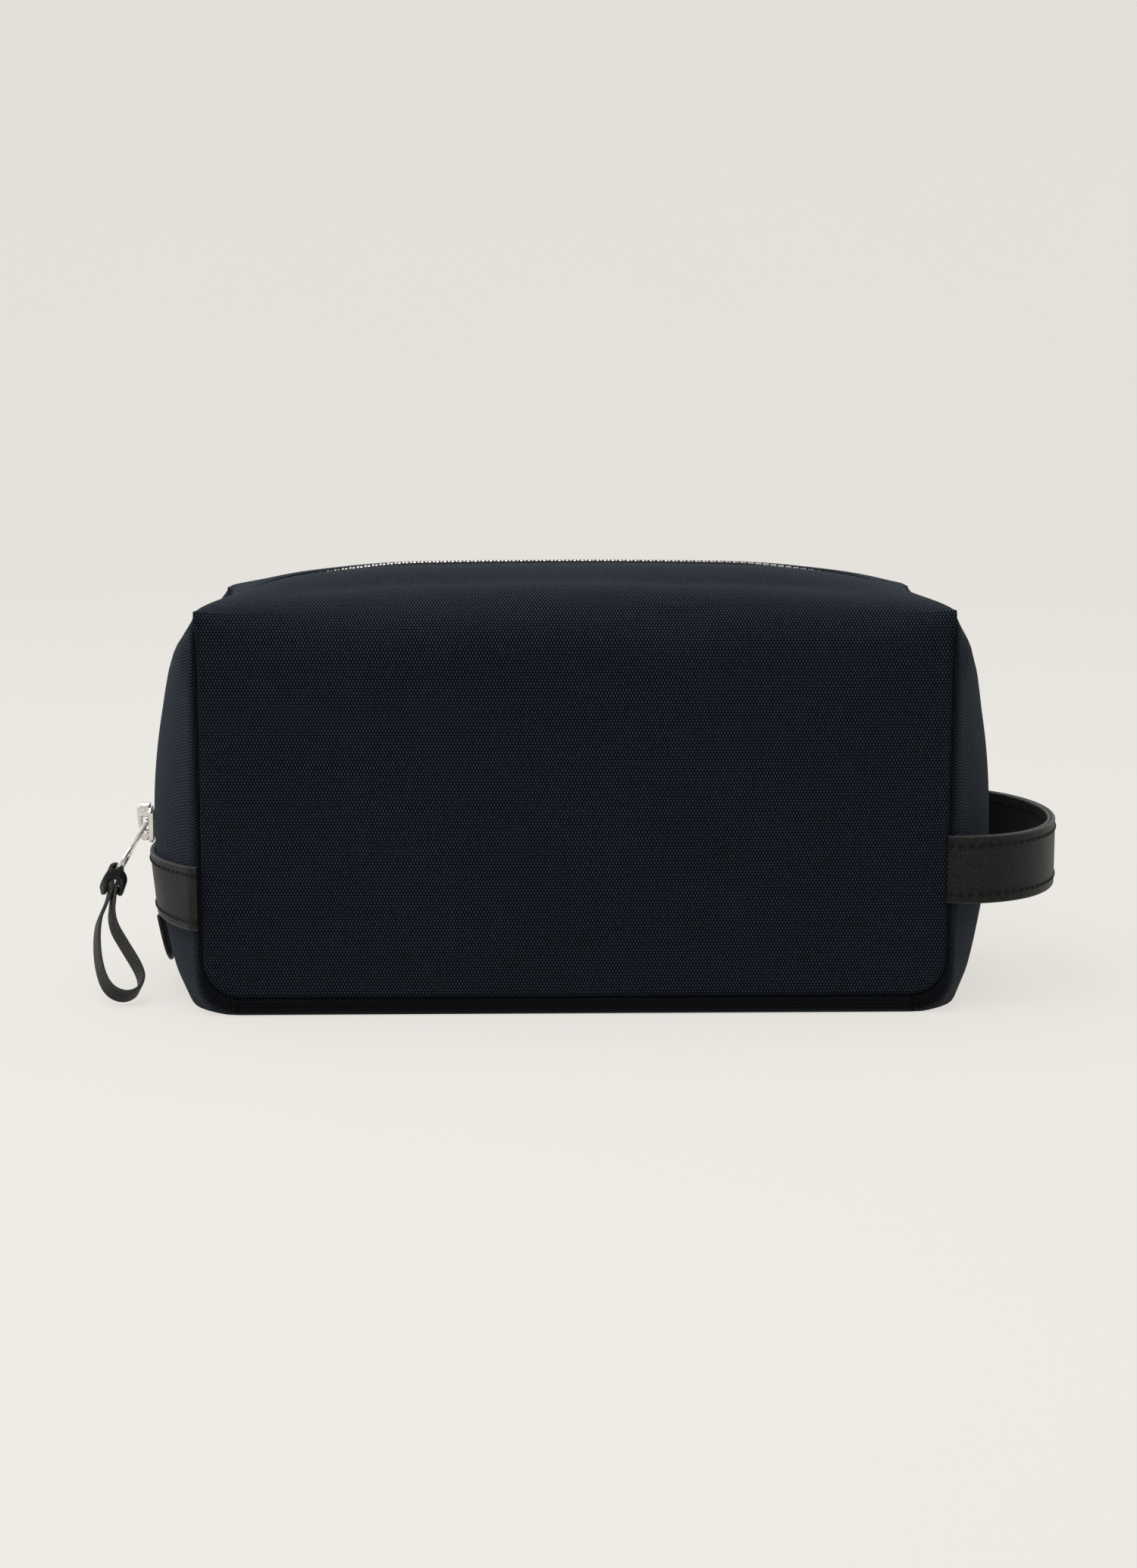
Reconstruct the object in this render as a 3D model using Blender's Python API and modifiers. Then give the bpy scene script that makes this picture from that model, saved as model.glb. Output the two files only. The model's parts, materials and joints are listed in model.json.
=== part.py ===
"""Shaving kit bag: a canvas wash bag with a zip mouth, leather trim and a carry handle.

Frame: +X towards the carry handle, -Y is the front, +Z up, origin at the middle of the footprint.
The walls are sheets lofted from a few shared formulas, so neighbouring pieces follow each other.
"""

import math

import bmesh
import bpy
from mathutils import Matrix, Vector

MM = 0.001
GAP = 0.3 * MM

# Body
SEAM_X = 130.5 * MM
SEAM_Y = 57.0 * MM
FRONT_BELLY = 2.5 * MM
FLOOR_ROLL = 5.0 * MM
ROLL_HEIGHT = 8.0 * MM
WALL = 1.5 * MM
WALL_FOOT = 2.3 * MM
BASE_THICKNESS = 2.0 * MM
BASE_INSET = 2.0 * MM
LIP_Z = 118.0 * MM
EAR_Z = 142.8 * MM
SHOULDER_RISE = 8.5 * MM
ROLL_RADIUS = 24.0 * MM
EAR_RADIUS = 3.0 * MM
EAR_TRIM = 6.5 * MM
EAR_FOOT = 0.8 * MM
END_START_X = 132.7 * MM
END_START_Y = 56.2 * MM
END_POWER = 2.2

# Bulge of the two ends on the centre plane
BELLY_X = 152.8 * MM
BELLY_Z = 56.0 * MM
END_RADIUS = 255.0 * MM
TUCK = 6.5 * MM
TUCK_POWER = 2.2

# Zip
ZIP_Z = 52.0 * MM
TAPE_HALF = 14.0 * MM
TAPE_THICKNESS = 0.8 * MM
ZIP_START = 0.012
TEETH_INNER = 0.55 * MM
TEETH_OUTER = 2.85 * MM
TEETH_THICKNESS = 2.4 * MM
STOP_LENGTH = 1.6 * MM

# Slider and its pull
SLIDER_LENGTH = 13.5 * MM
SLIDER_WIDTH = 9.2 * MM
PLATE = 1.2 * MM
PLATE_LIFT = 1.5 * MM
WEB_LENGTH = 4.0 * MM
FLANGE = 1.0 * MM
CROWN_WIDTH = 2.4 * MM
CROWN_RISE = 3.8 * MM
CROWN_STRIP = 1.0 * MM
SLIDER_Z = 59.0 * MM
BAIL_PIVOT = Vector((-156.6 * MM, 0.0, 60.0 * MM))
BAIL_TILT = math.radians(31)
BAIL_THICKNESS = 1.0 * MM
RING_AT = 18.7 * MM
RING_RADIUS = 6.2 * MM
RING_WIRE = 1.6 * MM
HITCH_ANGLE = math.radians(46)
LOOP_FOOT = Vector((-160.5 * MM, -40.5 * MM, 3.4 * MM))
STRAP_WIDTH = 7.0 * MM
STRAP_THICKNESS = 1.3 * MM
STRAP_BEND = 2.6 * MM
KNOT_LENGTH = 7.5 * MM
LOOP_HALF = 7.9 * MM

# Leather on the ends
BAND_TOP = 53.5 * MM
BAND_BOTTOM = 30.7 * MM
BAND_DIP = 5.0 * MM
LEATHER = 1.8 * MM
TAB_HALF = 9.0 * MM
TAB_LENGTH = 16.0 * MM
TAB_ROUND = 0.45
TAB_TIP = 0.35
HANDLE_REACH = 177.6 * MM
HANDLE_SPREAD = 58.0 * MM
HANDLE_SQUARENESS = 0.82
HANDLE_HALF = 12.0 * MM
HANDLE_Z = 51.3 * MM
HANDLE_LAYER = 1.4 * MM
HANDLE_AXIS_X = 146.0 * MM
HANDLE_START_X = 134.1 * MM
ANCHOR_X = 131.4 * MM

# Inside
LINING_INSET = 2.6 * MM
LINING_END_INSET = 5.0 * MM
LINING = 0.7 * MM
BOARD = 1.6 * MM
BOARD_INSET = 6.0 * MM
POCKET_HALF = 88.0 * MM
POCKET_Z = (30.0 * MM, 100.0 * MM)
POCKET_THICKNESS = 1.2 * MM

SIDES = {"left": -1, "right": 1}
FACES = {"front": -1, "rear": 1}

PARTS = bpy.data.collections.new("shaving_kit_bag")
CUTTERS = bpy.data.collections.new("cutters")
MATERIALS = {}


# ---------------------------------------------------------------- scene helpers

def clear_scene():
    for obj in list(bpy.data.objects):
        bpy.data.objects.remove(obj, do_unlink=True)
    for collection in (PARTS, CUTTERS):
        bpy.context.scene.collection.children.link(collection)


def material(name, colour, roughness, metallic=0.0):
    found = bpy.data.materials.new(name)
    found.use_nodes = True
    shader = found.node_tree.nodes["Principled BSDF"]
    shader.inputs["Base Color"].default_value = (*colour, 1.0)
    shader.inputs["Roughness"].default_value = roughness
    shader.inputs["Metallic"].default_value = metallic
    MATERIALS[name] = found


def make_materials():
    material("canvas", (0.022, 0.028, 0.045), 0.85)
    material("leather", (0.016, 0.015, 0.015), 0.5)
    material("zip_tape", (0.012, 0.013, 0.016), 0.9)
    material("nickel", (0.62, 0.60, 0.57), 0.3, 1.0)
    material("lining", (0.10, 0.11, 0.13), 0.7)
    material("board", (0.20, 0.18, 0.15), 0.8)


def add_object(name, data, material_name):
    obj = bpy.data.objects.new(name, data)
    PARTS.objects.link(obj)
    obj.data.materials.append(MATERIALS[material_name])
    return obj


def to_mesh(name, bm, material_name):
    mesh = bpy.data.meshes.new(name)
    bm.to_mesh(mesh)
    bm.free()
    return add_object(name, mesh, material_name)


def smooth(obj, angle=40):
    obj.data.shade_smooth()
    obj.data.set_sharp_from_angle(angle=math.radians(angle))


def pivot(name, location):
    """An empty on a joint's axis, which carries the pieces that move."""
    empty = bpy.data.objects.new(name, None)
    empty.location = location
    PARTS.objects.link(empty)
    return empty


def hang(children, parent):
    bpy.context.view_layer.update()
    for child in children:
        child.parent = parent
        child.matrix_parent_inverse = parent.matrix_world.inverted()


def sheet(name, point, columns, rows, thickness, material_name, offset=-1.0):
    """A lofted sheet: point(u, v) gives its outer face, and Solidify its thickness."""
    bm = bmesh.new()
    grid = [[bm.verts.new(point(i / columns, j / rows)) for i in range(columns + 1)]
            for j in range(rows + 1)]
    for j in range(rows):
        for i in range(columns):
            bm.faces.new((grid[j][i], grid[j][i + 1], grid[j + 1][i + 1], grid[j + 1][i]))
    obj = to_mesh(name, bm, material_name)
    solid = obj.modifiers.new("thickness", "SOLIDIFY")
    solid.thickness = thickness
    solid.offset = offset
    smooth(obj)
    return obj


def turned_out(point, side):
    """Swaps the sense of u on one side, so that the sheet's normal points out of the bag."""
    if side > 0:
        return point
    return lambda u, v: point(1.0 - u, v)


def prism(name, outline, low, high, material_name, matrix=Matrix.Identity(4), bevel=0.0):
    """A closed outline in the local XY plane, extruded from low to high along local Z."""
    bm = bmesh.new()
    face = bm.faces.new([bm.verts.new((x, y, low)) for x, y in outline])
    swept = bmesh.ops.extrude_face_region(bm, geom=[face])
    moved = [v for v in swept["geom"] if isinstance(v, bmesh.types.BMVert)]
    bmesh.ops.translate(bm, vec=(0, 0, high - low), verts=moved)
    bmesh.ops.recalc_face_normals(bm, faces=bm.faces)
    obj = to_mesh(name, bm, material_name)
    obj.matrix_world = matrix
    if bevel:
        edge = obj.modifiers.new("rounded_edge", "BEVEL")
        edge.width = bevel
        edge.segments = 2
        edge.limit_method = "ANGLE"
    smooth(obj)
    return obj


def box(name, low, high, material_name, bevel=0.0):
    size = [b - a for a, b in zip(low, high)]
    middle = [(a + b) / 2 for a, b in zip(low, high)]
    bm = bmesh.new()
    bmesh.ops.create_cube(bm, size=1.0)
    bmesh.ops.scale(bm, vec=size, verts=bm.verts)
    obj = to_mesh(name, bm, material_name)
    obj.location = middle
    if bevel:
        edge = obj.modifiers.new("rounded_edge", "BEVEL")
        edge.width = bevel
        edge.segments = 2
        smooth(obj)
    return obj


def join(target, *others):
    """Boolean union of solids that overlap, with the extra solids kept as guides."""
    for other in others:
        union = target.modifiers.new("join_" + other.name, "BOOLEAN")
        union.operation = "UNION"
        union.solver = "EXACT"
        union.object = other
        as_guide(other)
    return target


def as_guide(obj):
    obj.hide_render = True
    obj.display_type = "WIRE"
    PARTS.objects.unlink(obj)
    CUTTERS.objects.link(obj)


# ---------------------------------------------------------------- shared formulas

def end_x(z):
    """How far the end reaches on the centre plane, up to the lip."""
    if z < BELLY_Z:
        return BELLY_X - TUCK * ((BELLY_Z - z) / BELLY_Z) ** TUCK_POWER
    return BELLY_X - END_RADIUS + math.sqrt(END_RADIUS ** 2 - (z - BELLY_Z) ** 2)


# The zip's line from the lip's edge over the corner to the middle of the top, as (x, z)
CORNER_TURN = ((141.2, 127.3), (136.2, 134.4), (128.8, 139.9), (116.5, 145.9))
TOP_CROWN = ((99.7, 150.7), (70, 154), (35, 155), (0, 155.2))
OVER_THE_TOP = [(end_x(LIP_Z), LIP_Z)] + [(x * MM, z * MM) for x, z in CORNER_TURN + TOP_CROWN]


def zip_half(t):
    """A point (x, z) of the zip's line over one half of the top, t from 0 at the lip to 1 in the middle."""
    points = OVER_THE_TOP + [(-x, z) for x, z in OVER_THE_TOP[-2::-1]]
    place = t * (len(OVER_THE_TOP) - 1)
    k = min(int(place), len(OVER_THE_TOP) - 2)
    f = place - k
    before = points[k - 1] if k else (2 * points[0][0] - points[1][0], 2 * points[0][1] - points[1][1])
    return tuple(catmull(before[a], points[k][a], points[k + 1][a], points[k + 2][a], f) for a in (0, 1))


def catmull(p0, p1, p2, p3, f):
    return 0.5 * (2 * p1 + (p2 - p0) * f + (2 * p0 - 5 * p1 + 4 * p2 - p3) * f ** 2
                  + (3 * p1 - p0 - 3 * p2 + p3) * f ** 3)


def on_zip_half(value, axis):
    """The other coordinate of the zip's line where its x (axis 0) or z (axis 1) has this value."""
    low, high = 0.0, 1.0
    rising = axis == 1
    for _ in range(40):
        middle = (low + high) / 2
        if (zip_half(middle)[axis] < value) == rising:
            low = middle
        else:
            high = middle
    return zip_half(low)[1 - axis]


def zip_top(x):
    return on_zip_half(min(abs(x), end_x(LIP_Z)), 0)


def centre_x(z):
    return end_x(z) if z <= LIP_Z else on_zip_half(z, 1)


def roll_in(z):
    """How far the cloth has rolled in towards the base at this height."""
    if z >= ROLL_HEIGHT:
        return 0.0
    return FLOOR_ROLL * (1 - math.sqrt(1 - ((ROLL_HEIGHT - z) / ROLL_HEIGHT) ** 2))


def wall_y(x, z):
    """Distance of the front and rear walls from the centre plane."""
    across = math.cos(math.pi / 2 * min(1.0, abs(x) / SEAM_X))
    return SEAM_Y + FRONT_BELLY * across * math.sin(math.pi * min(z, EAR_Z) / EAR_Z) - roll_in(z)


def end_point(side, y, z, lift=0.0):
    """A point on one end of the bag, lifted along its normal."""
    def place(yy, zz):
        bulge = 1 - (min(abs(yy), SEAM_Y) / SEAM_Y) ** END_POWER
        start = END_START_X - roll_in(zz)
        return Vector((side * (start + (centre_x(zz) - start) * bulge), yy, zz))
    here = place(y, z)
    if not lift:
        return here
    step = 0.2 * MM
    normal = (place(y + step, z) - place(y - step, z)).cross(place(y, z + step) - place(y, z - step))
    normal.normalize()
    return here + normal * lift * side


def top_point(face, x, v):
    """Section of a lip at x: up the wall, round the shoulder and over to the zip tape."""
    near_seam = min(1.0, abs(x) / SEAM_X)
    radius = EAR_RADIUS + (ROLL_RADIUS - EAR_RADIUS) * (1 - near_seam ** 6)
    shoulder = EAR_Z + SHOULDER_RISE * (1 - near_seam ** 2)
    wall = wall_y(x, LIP_Z)
    foot = LIP_Z + GAP
    edge = TAPE_HALF + GAP
    if v < 0.25:
        y, z = wall, foot + (shoulder - radius - foot) * v / 0.25
    elif v < 0.7:
        turn = (v - 0.25) / 0.45 * math.pi / 2
        y = wall - radius * (1 - math.cos(turn))
        z = shoulder - radius * (1 - math.sin(turn))
    else:
        f = (v - 0.7) / 0.3
        y = wall - radius + (edge - wall + radius) * f
        z = shoulder + (zip_top(x) - shoulder) * math.sin(f * math.pi / 2)
    return Vector((x, face * y, z))


# ---------------------------------------------------------------- body

def wall_panel(face_name, face):
    def point(u, v):
        x = (u - 0.5) * 2 * (SEAM_X - GAP)
        z = WALL_FOOT + (LIP_Z - WALL_FOOT) * v
        return Vector((x, face * wall_y(x, z), z))
    sheet(face_name + "_panel", turned_out(point, -face), 14, 8, WALL, "canvas")


def end_panels(side_name, side):
    """The lower end panel in one piece, and the two upper ones on each side of the zip."""
    split = ZIP_Z - 2 * MM

    def lower(u, v):
        return end_point(side, (u - 0.5) * 2 * END_START_Y, WALL_FOOT + (split - WALL_FOOT) * v)
    sheet(side_name + "_end_panel", turned_out(lower, side), 14, 5, WALL, "canvas")
    for face_name, face in FACES.items():
        def upper(u, v, face=face):
            y = TAPE_HALF + GAP + (END_START_Y - TAPE_HALF - GAP) * u
            return end_point(side, face * y, split + GAP + (LIP_Z - split - GAP) * v)
        name = f"{side_name}_end_{face_name}_half"
        sheet(name, turned_out(upper, side * face), 6, 6, WALL, "canvas")


def outline_at(z, inset, end_inset=None, steps=10):
    """The bag's plan outline at a height, drawn in by an inset, counter-clockwise."""
    end_inset = inset if end_inset is None else end_inset
    corner_x = SEAM_X - inset - roll_in(z)
    depth = SEAM_Y - inset - roll_in(z)
    reach = end_x(z) - end_inset
    points = []
    for k in range(steps + 1):
        y = -depth + 2 * depth * k / steps
        bulge = 1 - (abs(y) / depth) ** END_POWER
        points.append((corner_x + (reach - corner_x) * bulge, y))
    for k in range(1, steps):
        x = corner_x - 2 * corner_x * k / steps
        points.append((x, wall_y(x, z) - inset))
    return points + [(-x, -y) for x, y in points]


def base():
    prism("base_panel", outline_at(WALL_FOOT, BASE_INSET), 0.0, BASE_THICKNESS, "canvas")
    prism("base_board", outline_at(ROLL_HEIGHT, BOARD_INSET), WALL_FOOT, WALL_FOOT + BOARD, "board")


def lining_tub():
    """The waterproof lining: one tub, open at the top, just inside the panels."""
    levels = [WALL_FOOT + BOARD + GAP + LINING, 10 * MM, 30 * MM, 56 * MM, 88 * MM, LIP_Z - MM]
    bm = bmesh.new()
    insets = [LINING_INSET + 2 * MM] + [LINING_INSET] * (len(levels) - 1)
    rings = [[bm.verts.new((x, y, z)) for x, y in outline_at(z, inset, LINING_END_INSET)]
             for z, inset in zip(levels, insets)]
    count = len(rings[0])
    for low, high in zip(rings, rings[1:]):
        for i in range(count):
            bm.faces.new((low[i], low[(i + 1) % count], high[(i + 1) % count], high[i]))
    bm.faces.new(list(reversed(rings[0])))
    obj = to_mesh("lining_tub", bm, "lining")
    solid = obj.modifiers.new("thickness", "SOLIDIFY")
    solid.thickness = LINING
    solid.offset = -1.0
    smooth(obj)


def pocket():
    back = wall_y(0, LIP_Z) - LINING_INSET - LINING - 3 * MM
    box("inner_pocket", (-POCKET_HALF, back - POCKET_THICKNESS, POCKET_Z[0]),
        (POCKET_HALF, back, POCKET_Z[1]), "lining", 0.4 * MM)


def lip(face_name, face):
    """One half of the mouth above the lip line, with its own run of zip; returns its pieces."""
    def top(u, v):
        return top_point(face, (u - 0.5) * 2 * (SEAM_X - MM), v)
    pieces = [sheet(face_name + "_top_panel", turned_out(top, -face), 20, 10, WALL, "canvas")]
    for side_name, side in SIDES.items():
        def ear(u, v, side=side):
            y = TAPE_HALF + GAP + (END_START_Y - TAPE_HALF - GAP) * u
            return end_point(side, face * y, LIP_Z + EAR_FOOT + (EAR_Z - EAR_TRIM - LIP_Z) * v)
        name = f"{side_name}_{face_name}_ear"
        pieces.append(sheet(name, turned_out(ear, side * face), 6, 4, WALL, "canvas"))
    pieces.append(over_strip(face_name + "_zip_tape", face, TEETH_OUTER + GAP, TAPE_HALF,
                             TAPE_THICKNESS, "zip_tape"))
    pieces.append(over_strip(face_name + "_zip_teeth", face, TEETH_INNER, TEETH_OUTER,
                             TEETH_THICKNESS, "nickel"))
    hang(pieces, pivot(face_name + "_lip_slide", (0, 0, LIP_Z)))


# ---------------------------------------------------------------- zip

def over_strip(name, face, inner, outer, thickness, material_name):
    """A strip that follows the zip over the top from lip line to lip line."""
    def point(u, v):
        t = ZIP_START + (1 - ZIP_START) * (1 - abs(2 * u - 1))
        x, z = zip_half(t)
        return Vector((math.copysign(x, u - 0.5), face * (inner + (outer - inner) * v), z))
    return sheet(name, turned_out(point, face), 48, 1, thickness, material_name, 0.0)


def down_strip(name, side, face, inner, outer, thickness, material_name):
    """A strip that follows the zip down one end, from the lip line to the zip's end."""
    def point(u, v):
        z = ZIP_Z + (LIP_Z - ZIP_Z) * v
        return Vector((side * end_x(z), face * (inner + (outer - inner) * u), z))
    return sheet(name, turned_out(point, side * face), 1, 10, thickness, material_name, 0.0)


def end_zip(side_name, side):
    for face_name, face in FACES.items():
        down_strip(f"{side_name}_{face_name}_tape", side, face, TEETH_OUTER + GAP, TAPE_HALF,
                   TAPE_THICKNESS, "zip_tape")
        down_strip(f"{side_name}_{face_name}_teeth", side, face, TEETH_INNER, TEETH_OUTER,
                   TEETH_THICKNESS, "nickel")
    x = side * end_x(ZIP_Z)
    half = TEETH_THICKNESS / 2
    box(side_name + "_zip_stop", (x - half, -TEETH_OUTER, ZIP_Z - GAP - STOP_LENGTH),
        (x + half, TEETH_OUTER, ZIP_Z - GAP), "nickel", 0.3 * MM)


def slider():
    """Two plates round the teeth, tied by a thin web between the two rows, with a crown on top."""
    chain = -end_x(SLIDER_Z)
    low = SLIDER_Z - SLIDER_LENGTH / 2
    high = SLIDER_Z + SLIDER_LENGTH / 2
    half = SLIDER_WIDTH / 2
    outer_face = chain - PLATE_LIFT - PLATE
    body = box("slider_body", (outer_face, -half, low), (chain - PLATE_LIFT, half, high), "nickel", 0.35 * MM)
    inner = box("slider_inner_plate", (chain + PLATE_LIFT, -half, low),
                (chain + PLATE_LIFT + PLATE, half, high), "nickel", 0.35 * MM)
    web_half = TEETH_INNER - GAP
    web = box("slider_web", (chain - PLATE_LIFT - PLATE / 2, -web_half, SLIDER_Z - WEB_LENGTH / 2),
              (chain + PLATE_LIFT + PLATE / 2, web_half, SLIDER_Z + WEB_LENGTH / 2), "nickel")
    flange_low = chain - PLATE_LIFT - PLATE / 2
    flange_high = chain - TAPE_THICKNESS / 2 - GAP
    flanges = []
    for face_name, face in FACES.items():
        near, far = sorted((face * half, face * (half - FLANGE)))
        flanges.append(box("slider_flange_" + face_name, (flange_low, near, low + FLANGE),
                           (flange_high, far, high - FLANGE), "nickel"))
    join(body, inner, web, *flanges)
    return [body, crown(outer_face)]


def crown(plate_x):
    """The arched bridge over the slider plate, which holds the pull."""
    arch = [(GAP, -6.0 * MM), (CROWN_RISE * 0.75, -5.2 * MM), (CROWN_RISE, -3.6 * MM)]
    under = [(GAP, -4.6 * MM), (CROWN_RISE * 0.5, -4.4 * MM), (CROWN_RISE - CROWN_STRIP, -3.0 * MM)]
    outer = arch + [(x, -z) for x, z in arch[::-1]]
    inner = [(x, -z) for x, z in under] + under[::-1]
    outline = [(-x, z) for x, z in outer + inner]
    stand = Matrix.Translation((plate_x, 0, BAIL_PIVOT.z)) @ Matrix.Rotation(math.pi / 2, 4, "X")
    return prism("slider_crown", outline, -CROWN_WIDTH / 2, CROWN_WIDTH / 2, "nickel", stand, 0.2 * MM)


def bail_frame():
    """Local X along the bar, local Y down the bail, local Z its thickness."""
    down = Vector((-math.sin(BAIL_TILT), 0, -math.cos(BAIL_TILT)))
    across = Vector((0, 1, 0))
    return frame_of(across, down, BAIL_PIVOT)


def frame_of(x_axis, y_axis, place):
    z_axis = x_axis.cross(y_axis)
    matrix = Matrix((x_axis, y_axis, z_axis)).transposed().to_4x4()
    matrix.translation = place
    return matrix


def arc(centre, radius, start, end, steps):
    angles = [math.radians(start + (end - start) * k / steps) for k in range(steps + 1)]
    return [(centre[0] + radius * math.cos(a), centre[1] + radius * math.sin(a)) for a in angles]


def bail():
    """A stamped link: a window for the crown at the top and a ring for the leather at the bottom."""
    ring = (0.0, RING_AT)
    outer_radius = RING_RADIUS + RING_WIRE / 2
    inner_radius = RING_RADIUS - RING_WIRE / 2
    outer = (arc(ring, outer_radius, 0, 180, 18)
             + [(-5.2 * MM, 13.5 * MM), (-3.4 * MM, 10.0 * MM), (-3.0 * MM, 5.0 * MM), (-2.9 * MM, -0.6 * MM),
                (2.9 * MM, -0.6 * MM), (3.0 * MM, 5.0 * MM), (3.4 * MM, 10.0 * MM), (5.2 * MM, 13.5 * MM)])
    window = [(-1.6 * MM, 0.7 * MM), (1.6 * MM, 0.7 * MM), (1.7 * MM, 7.6 * MM), (-1.7 * MM, 7.6 * MM)]
    hole = arc(ring, inner_radius, 0, 180, 16) + [(-3.2 * MM, 13.6 * MM), (0.0, 12.2 * MM), (3.2 * MM, 13.6 * MM)]
    curve = bpy.data.curves.new("pull_bail", "CURVE")
    curve.dimensions = "2D"
    curve.fill_mode = "BOTH"
    curve.extrude = BAIL_THICKNESS / 2
    for outline in (outer, window, hole):
        spline = curve.splines.new("POLY")
        spline.points.add(len(outline) - 1)
        for target, (x, y) in zip(spline.points, outline):
            target.co = (x, y, 0, 1)
        spline.use_cyclic_u = True
    obj = add_object("pull_bail", curve, "nickel")
    obj.matrix_world = bail_frame()
    return obj


def hitch_frame():
    """On the ring: local X across the loop, local Y down it, local Z along the ring's wire."""
    local = bail_frame()
    across, down = local.col[0].to_3d(), local.col[1].to_3d()
    wire = across * math.cos(HITCH_ANGLE) + down * math.sin(HITCH_ANGLE)
    radial = down * math.cos(HITCH_ANGLE) - across * math.sin(HITCH_ANGLE)
    place = BAIL_PIVOT + down * RING_AT + radial * RING_RADIUS
    hang_down = (LOOP_FOOT - place).normalized()
    return frame_of(hang_down.cross(wire).normalized(), hang_down, place)


def loop_line(foot):
    """Half of the leather loop's centre line in its own plane, from the bend on the ring to its foot."""
    bend = STRAP_BEND + STRAP_THICKNESS / 2
    start = arc((0.0, 0.0), bend, -90, 0, 5)
    neck = KNOT_LENGTH + 2.5 * MM
    side = [(bend, neck), (bend + 1.2 * MM, neck + 4 * MM), (LOOP_HALF * 0.8, neck + 13 * MM),
            (LOOP_HALF, foot - 9 * MM), (LOOP_HALF * 0.93, foot - 4 * MM), (LOOP_HALF * 0.62, foot - 0.8 * MM)]
    return start + side + [(0.0, foot)]


def offset_line(points, distance):
    """Each point moved along the line's own normal."""
    moved = []
    for k, here in enumerate(points):
        before = points[max(k - 1, 0)]
        after = points[min(k + 1, len(points) - 1)]
        dx, dy = after[0] - before[0], after[1] - before[1]
        if k in (0, len(points) - 1):
            dx, dy = 1.0 if k == 0 else -1.0, 0.0
        length = math.hypot(dx, dy)
        moved.append((here[0] + distance * dy / length, here[1] - distance * dx / length))
    return moved


def leather_loop():
    matrix = hitch_frame()
    half = loop_line((LOOP_FOOT - matrix.translation).length)
    strap = bmesh.new()
    rings = []
    for distance in (STRAP_THICKNESS / 2, -STRAP_THICKNESS / 2):
        side = offset_line(half, distance)
        whole = side + [(-x, y) for x, y in reversed(side[1:-1])]
        rings.append([[strap.verts.new((x, y, z)) for x, y in whole]
                      for z in (-STRAP_WIDTH / 2, STRAP_WIDTH / 2)])
    count = len(rings[0][0])
    corners = (rings[0][0], rings[0][1], rings[1][1], rings[1][0])
    for low, high in zip(corners, corners[1:] + corners[:1]):
        for i in range(count):
            strap.faces.new((low[i], low[(i + 1) % count], high[(i + 1) % count], high[i]))
    bmesh.ops.recalc_face_normals(strap, faces=strap.faces)
    loop = to_mesh("pull_loop", strap, "leather")
    loop.matrix_world = matrix
    smooth(loop)
    return [loop, knot(matrix)]


def knot(matrix):
    """The hitch: a sleeve of strap round both strands, just below the ring."""
    inside = STRAP_BEND + STRAP_THICKNESS + GAP
    outside = inside + STRAP_THICKNESS
    reach = STRAP_WIDTH / 2 + GAP
    rim = [(x, z) for x, z in ((-1, -1), (1, -1), (1, 1), (-1, 1))]
    bm = bmesh.new()
    loops = []
    for wide, deep in ((outside, reach + STRAP_THICKNESS), (inside, reach)):
        loops.append([[bm.verts.new((x * wide, y, z * deep)) for x, z in rim]
                      for y in (2 * MM, 2 * MM + KNOT_LENGTH)])
    corners = (loops[0][0], loops[0][1], loops[1][1], loops[1][0])
    for low, high in zip(corners, corners[1:] + corners[:1]):
        for i in range(4):
            bm.faces.new((low[i], low[(i + 1) % 4], high[(i + 1) % 4], high[i]))
    bmesh.ops.recalc_face_normals(bm, faces=bm.faces)
    sleeve = to_mesh("pull_knot", bm, "leather")
    sleeve.matrix_world = matrix
    edge = sleeve.modifiers.new("rounded_edge", "BEVEL")
    edge.width = 0.5 * MM
    edge.segments = 2
    smooth(sleeve)
    return sleeve


# ---------------------------------------------------------------- leather trim

def band():
    """The leather band across the left end, from seam to seam."""
    def point(u, v):
        y = (u - 0.5) * 2 * (END_START_Y - MM)
        dip = BAND_DIP * (1 - (y / SEAM_Y) ** 2)
        z = BAND_BOTTOM + (BAND_TOP - BAND_BOTTOM) * v - dip
        return end_point(-1, y, z, GAP)
    sheet("left_end_band", turned_out(point, -1), 18, 3, LEATHER, "leather", 1.0)


def end_tab(side_name, side, top):
    """The leather tab that closes the zip's end, with a round foot."""
    def point(u, v):
        round_part = min(1.0, v / TAB_ROUND)
        narrow = math.sqrt(1 - (1 - round_part) ** 2)
        y = (u - 0.5) * 2 * TAB_HALF * (TAB_TIP + (1 - TAB_TIP) * narrow)
        return end_point(side, y, top - TAB_LENGTH + TAB_LENGTH * v, GAP)
    sheet(side_name + "_zip_tab", turned_out(point, side), 6, 8, LEATHER, "leather", 1.0)


def handle_line(t):
    """Plan of the handle's middle surface, t from 0 at the front seam to 1 at the rear seam."""
    turn = math.pi * t
    reach = HANDLE_REACH - HANDLE_LAYER - GAP / 2
    x = ANCHOR_X + (reach - ANCHOR_X) * math.sin(turn) ** HANDLE_SQUARENESS
    return x, -HANDLE_SPREAD * math.cos(turn)


def handle_span(first_x):
    """The value of t at which the handle's line first reaches this x."""
    low, high = 0.0, 0.5
    for _ in range(40):
        middle = (low + high) / 2
        if handle_line(middle)[0] < first_x:
            low = middle
        else:
            high = middle
    return low


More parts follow.
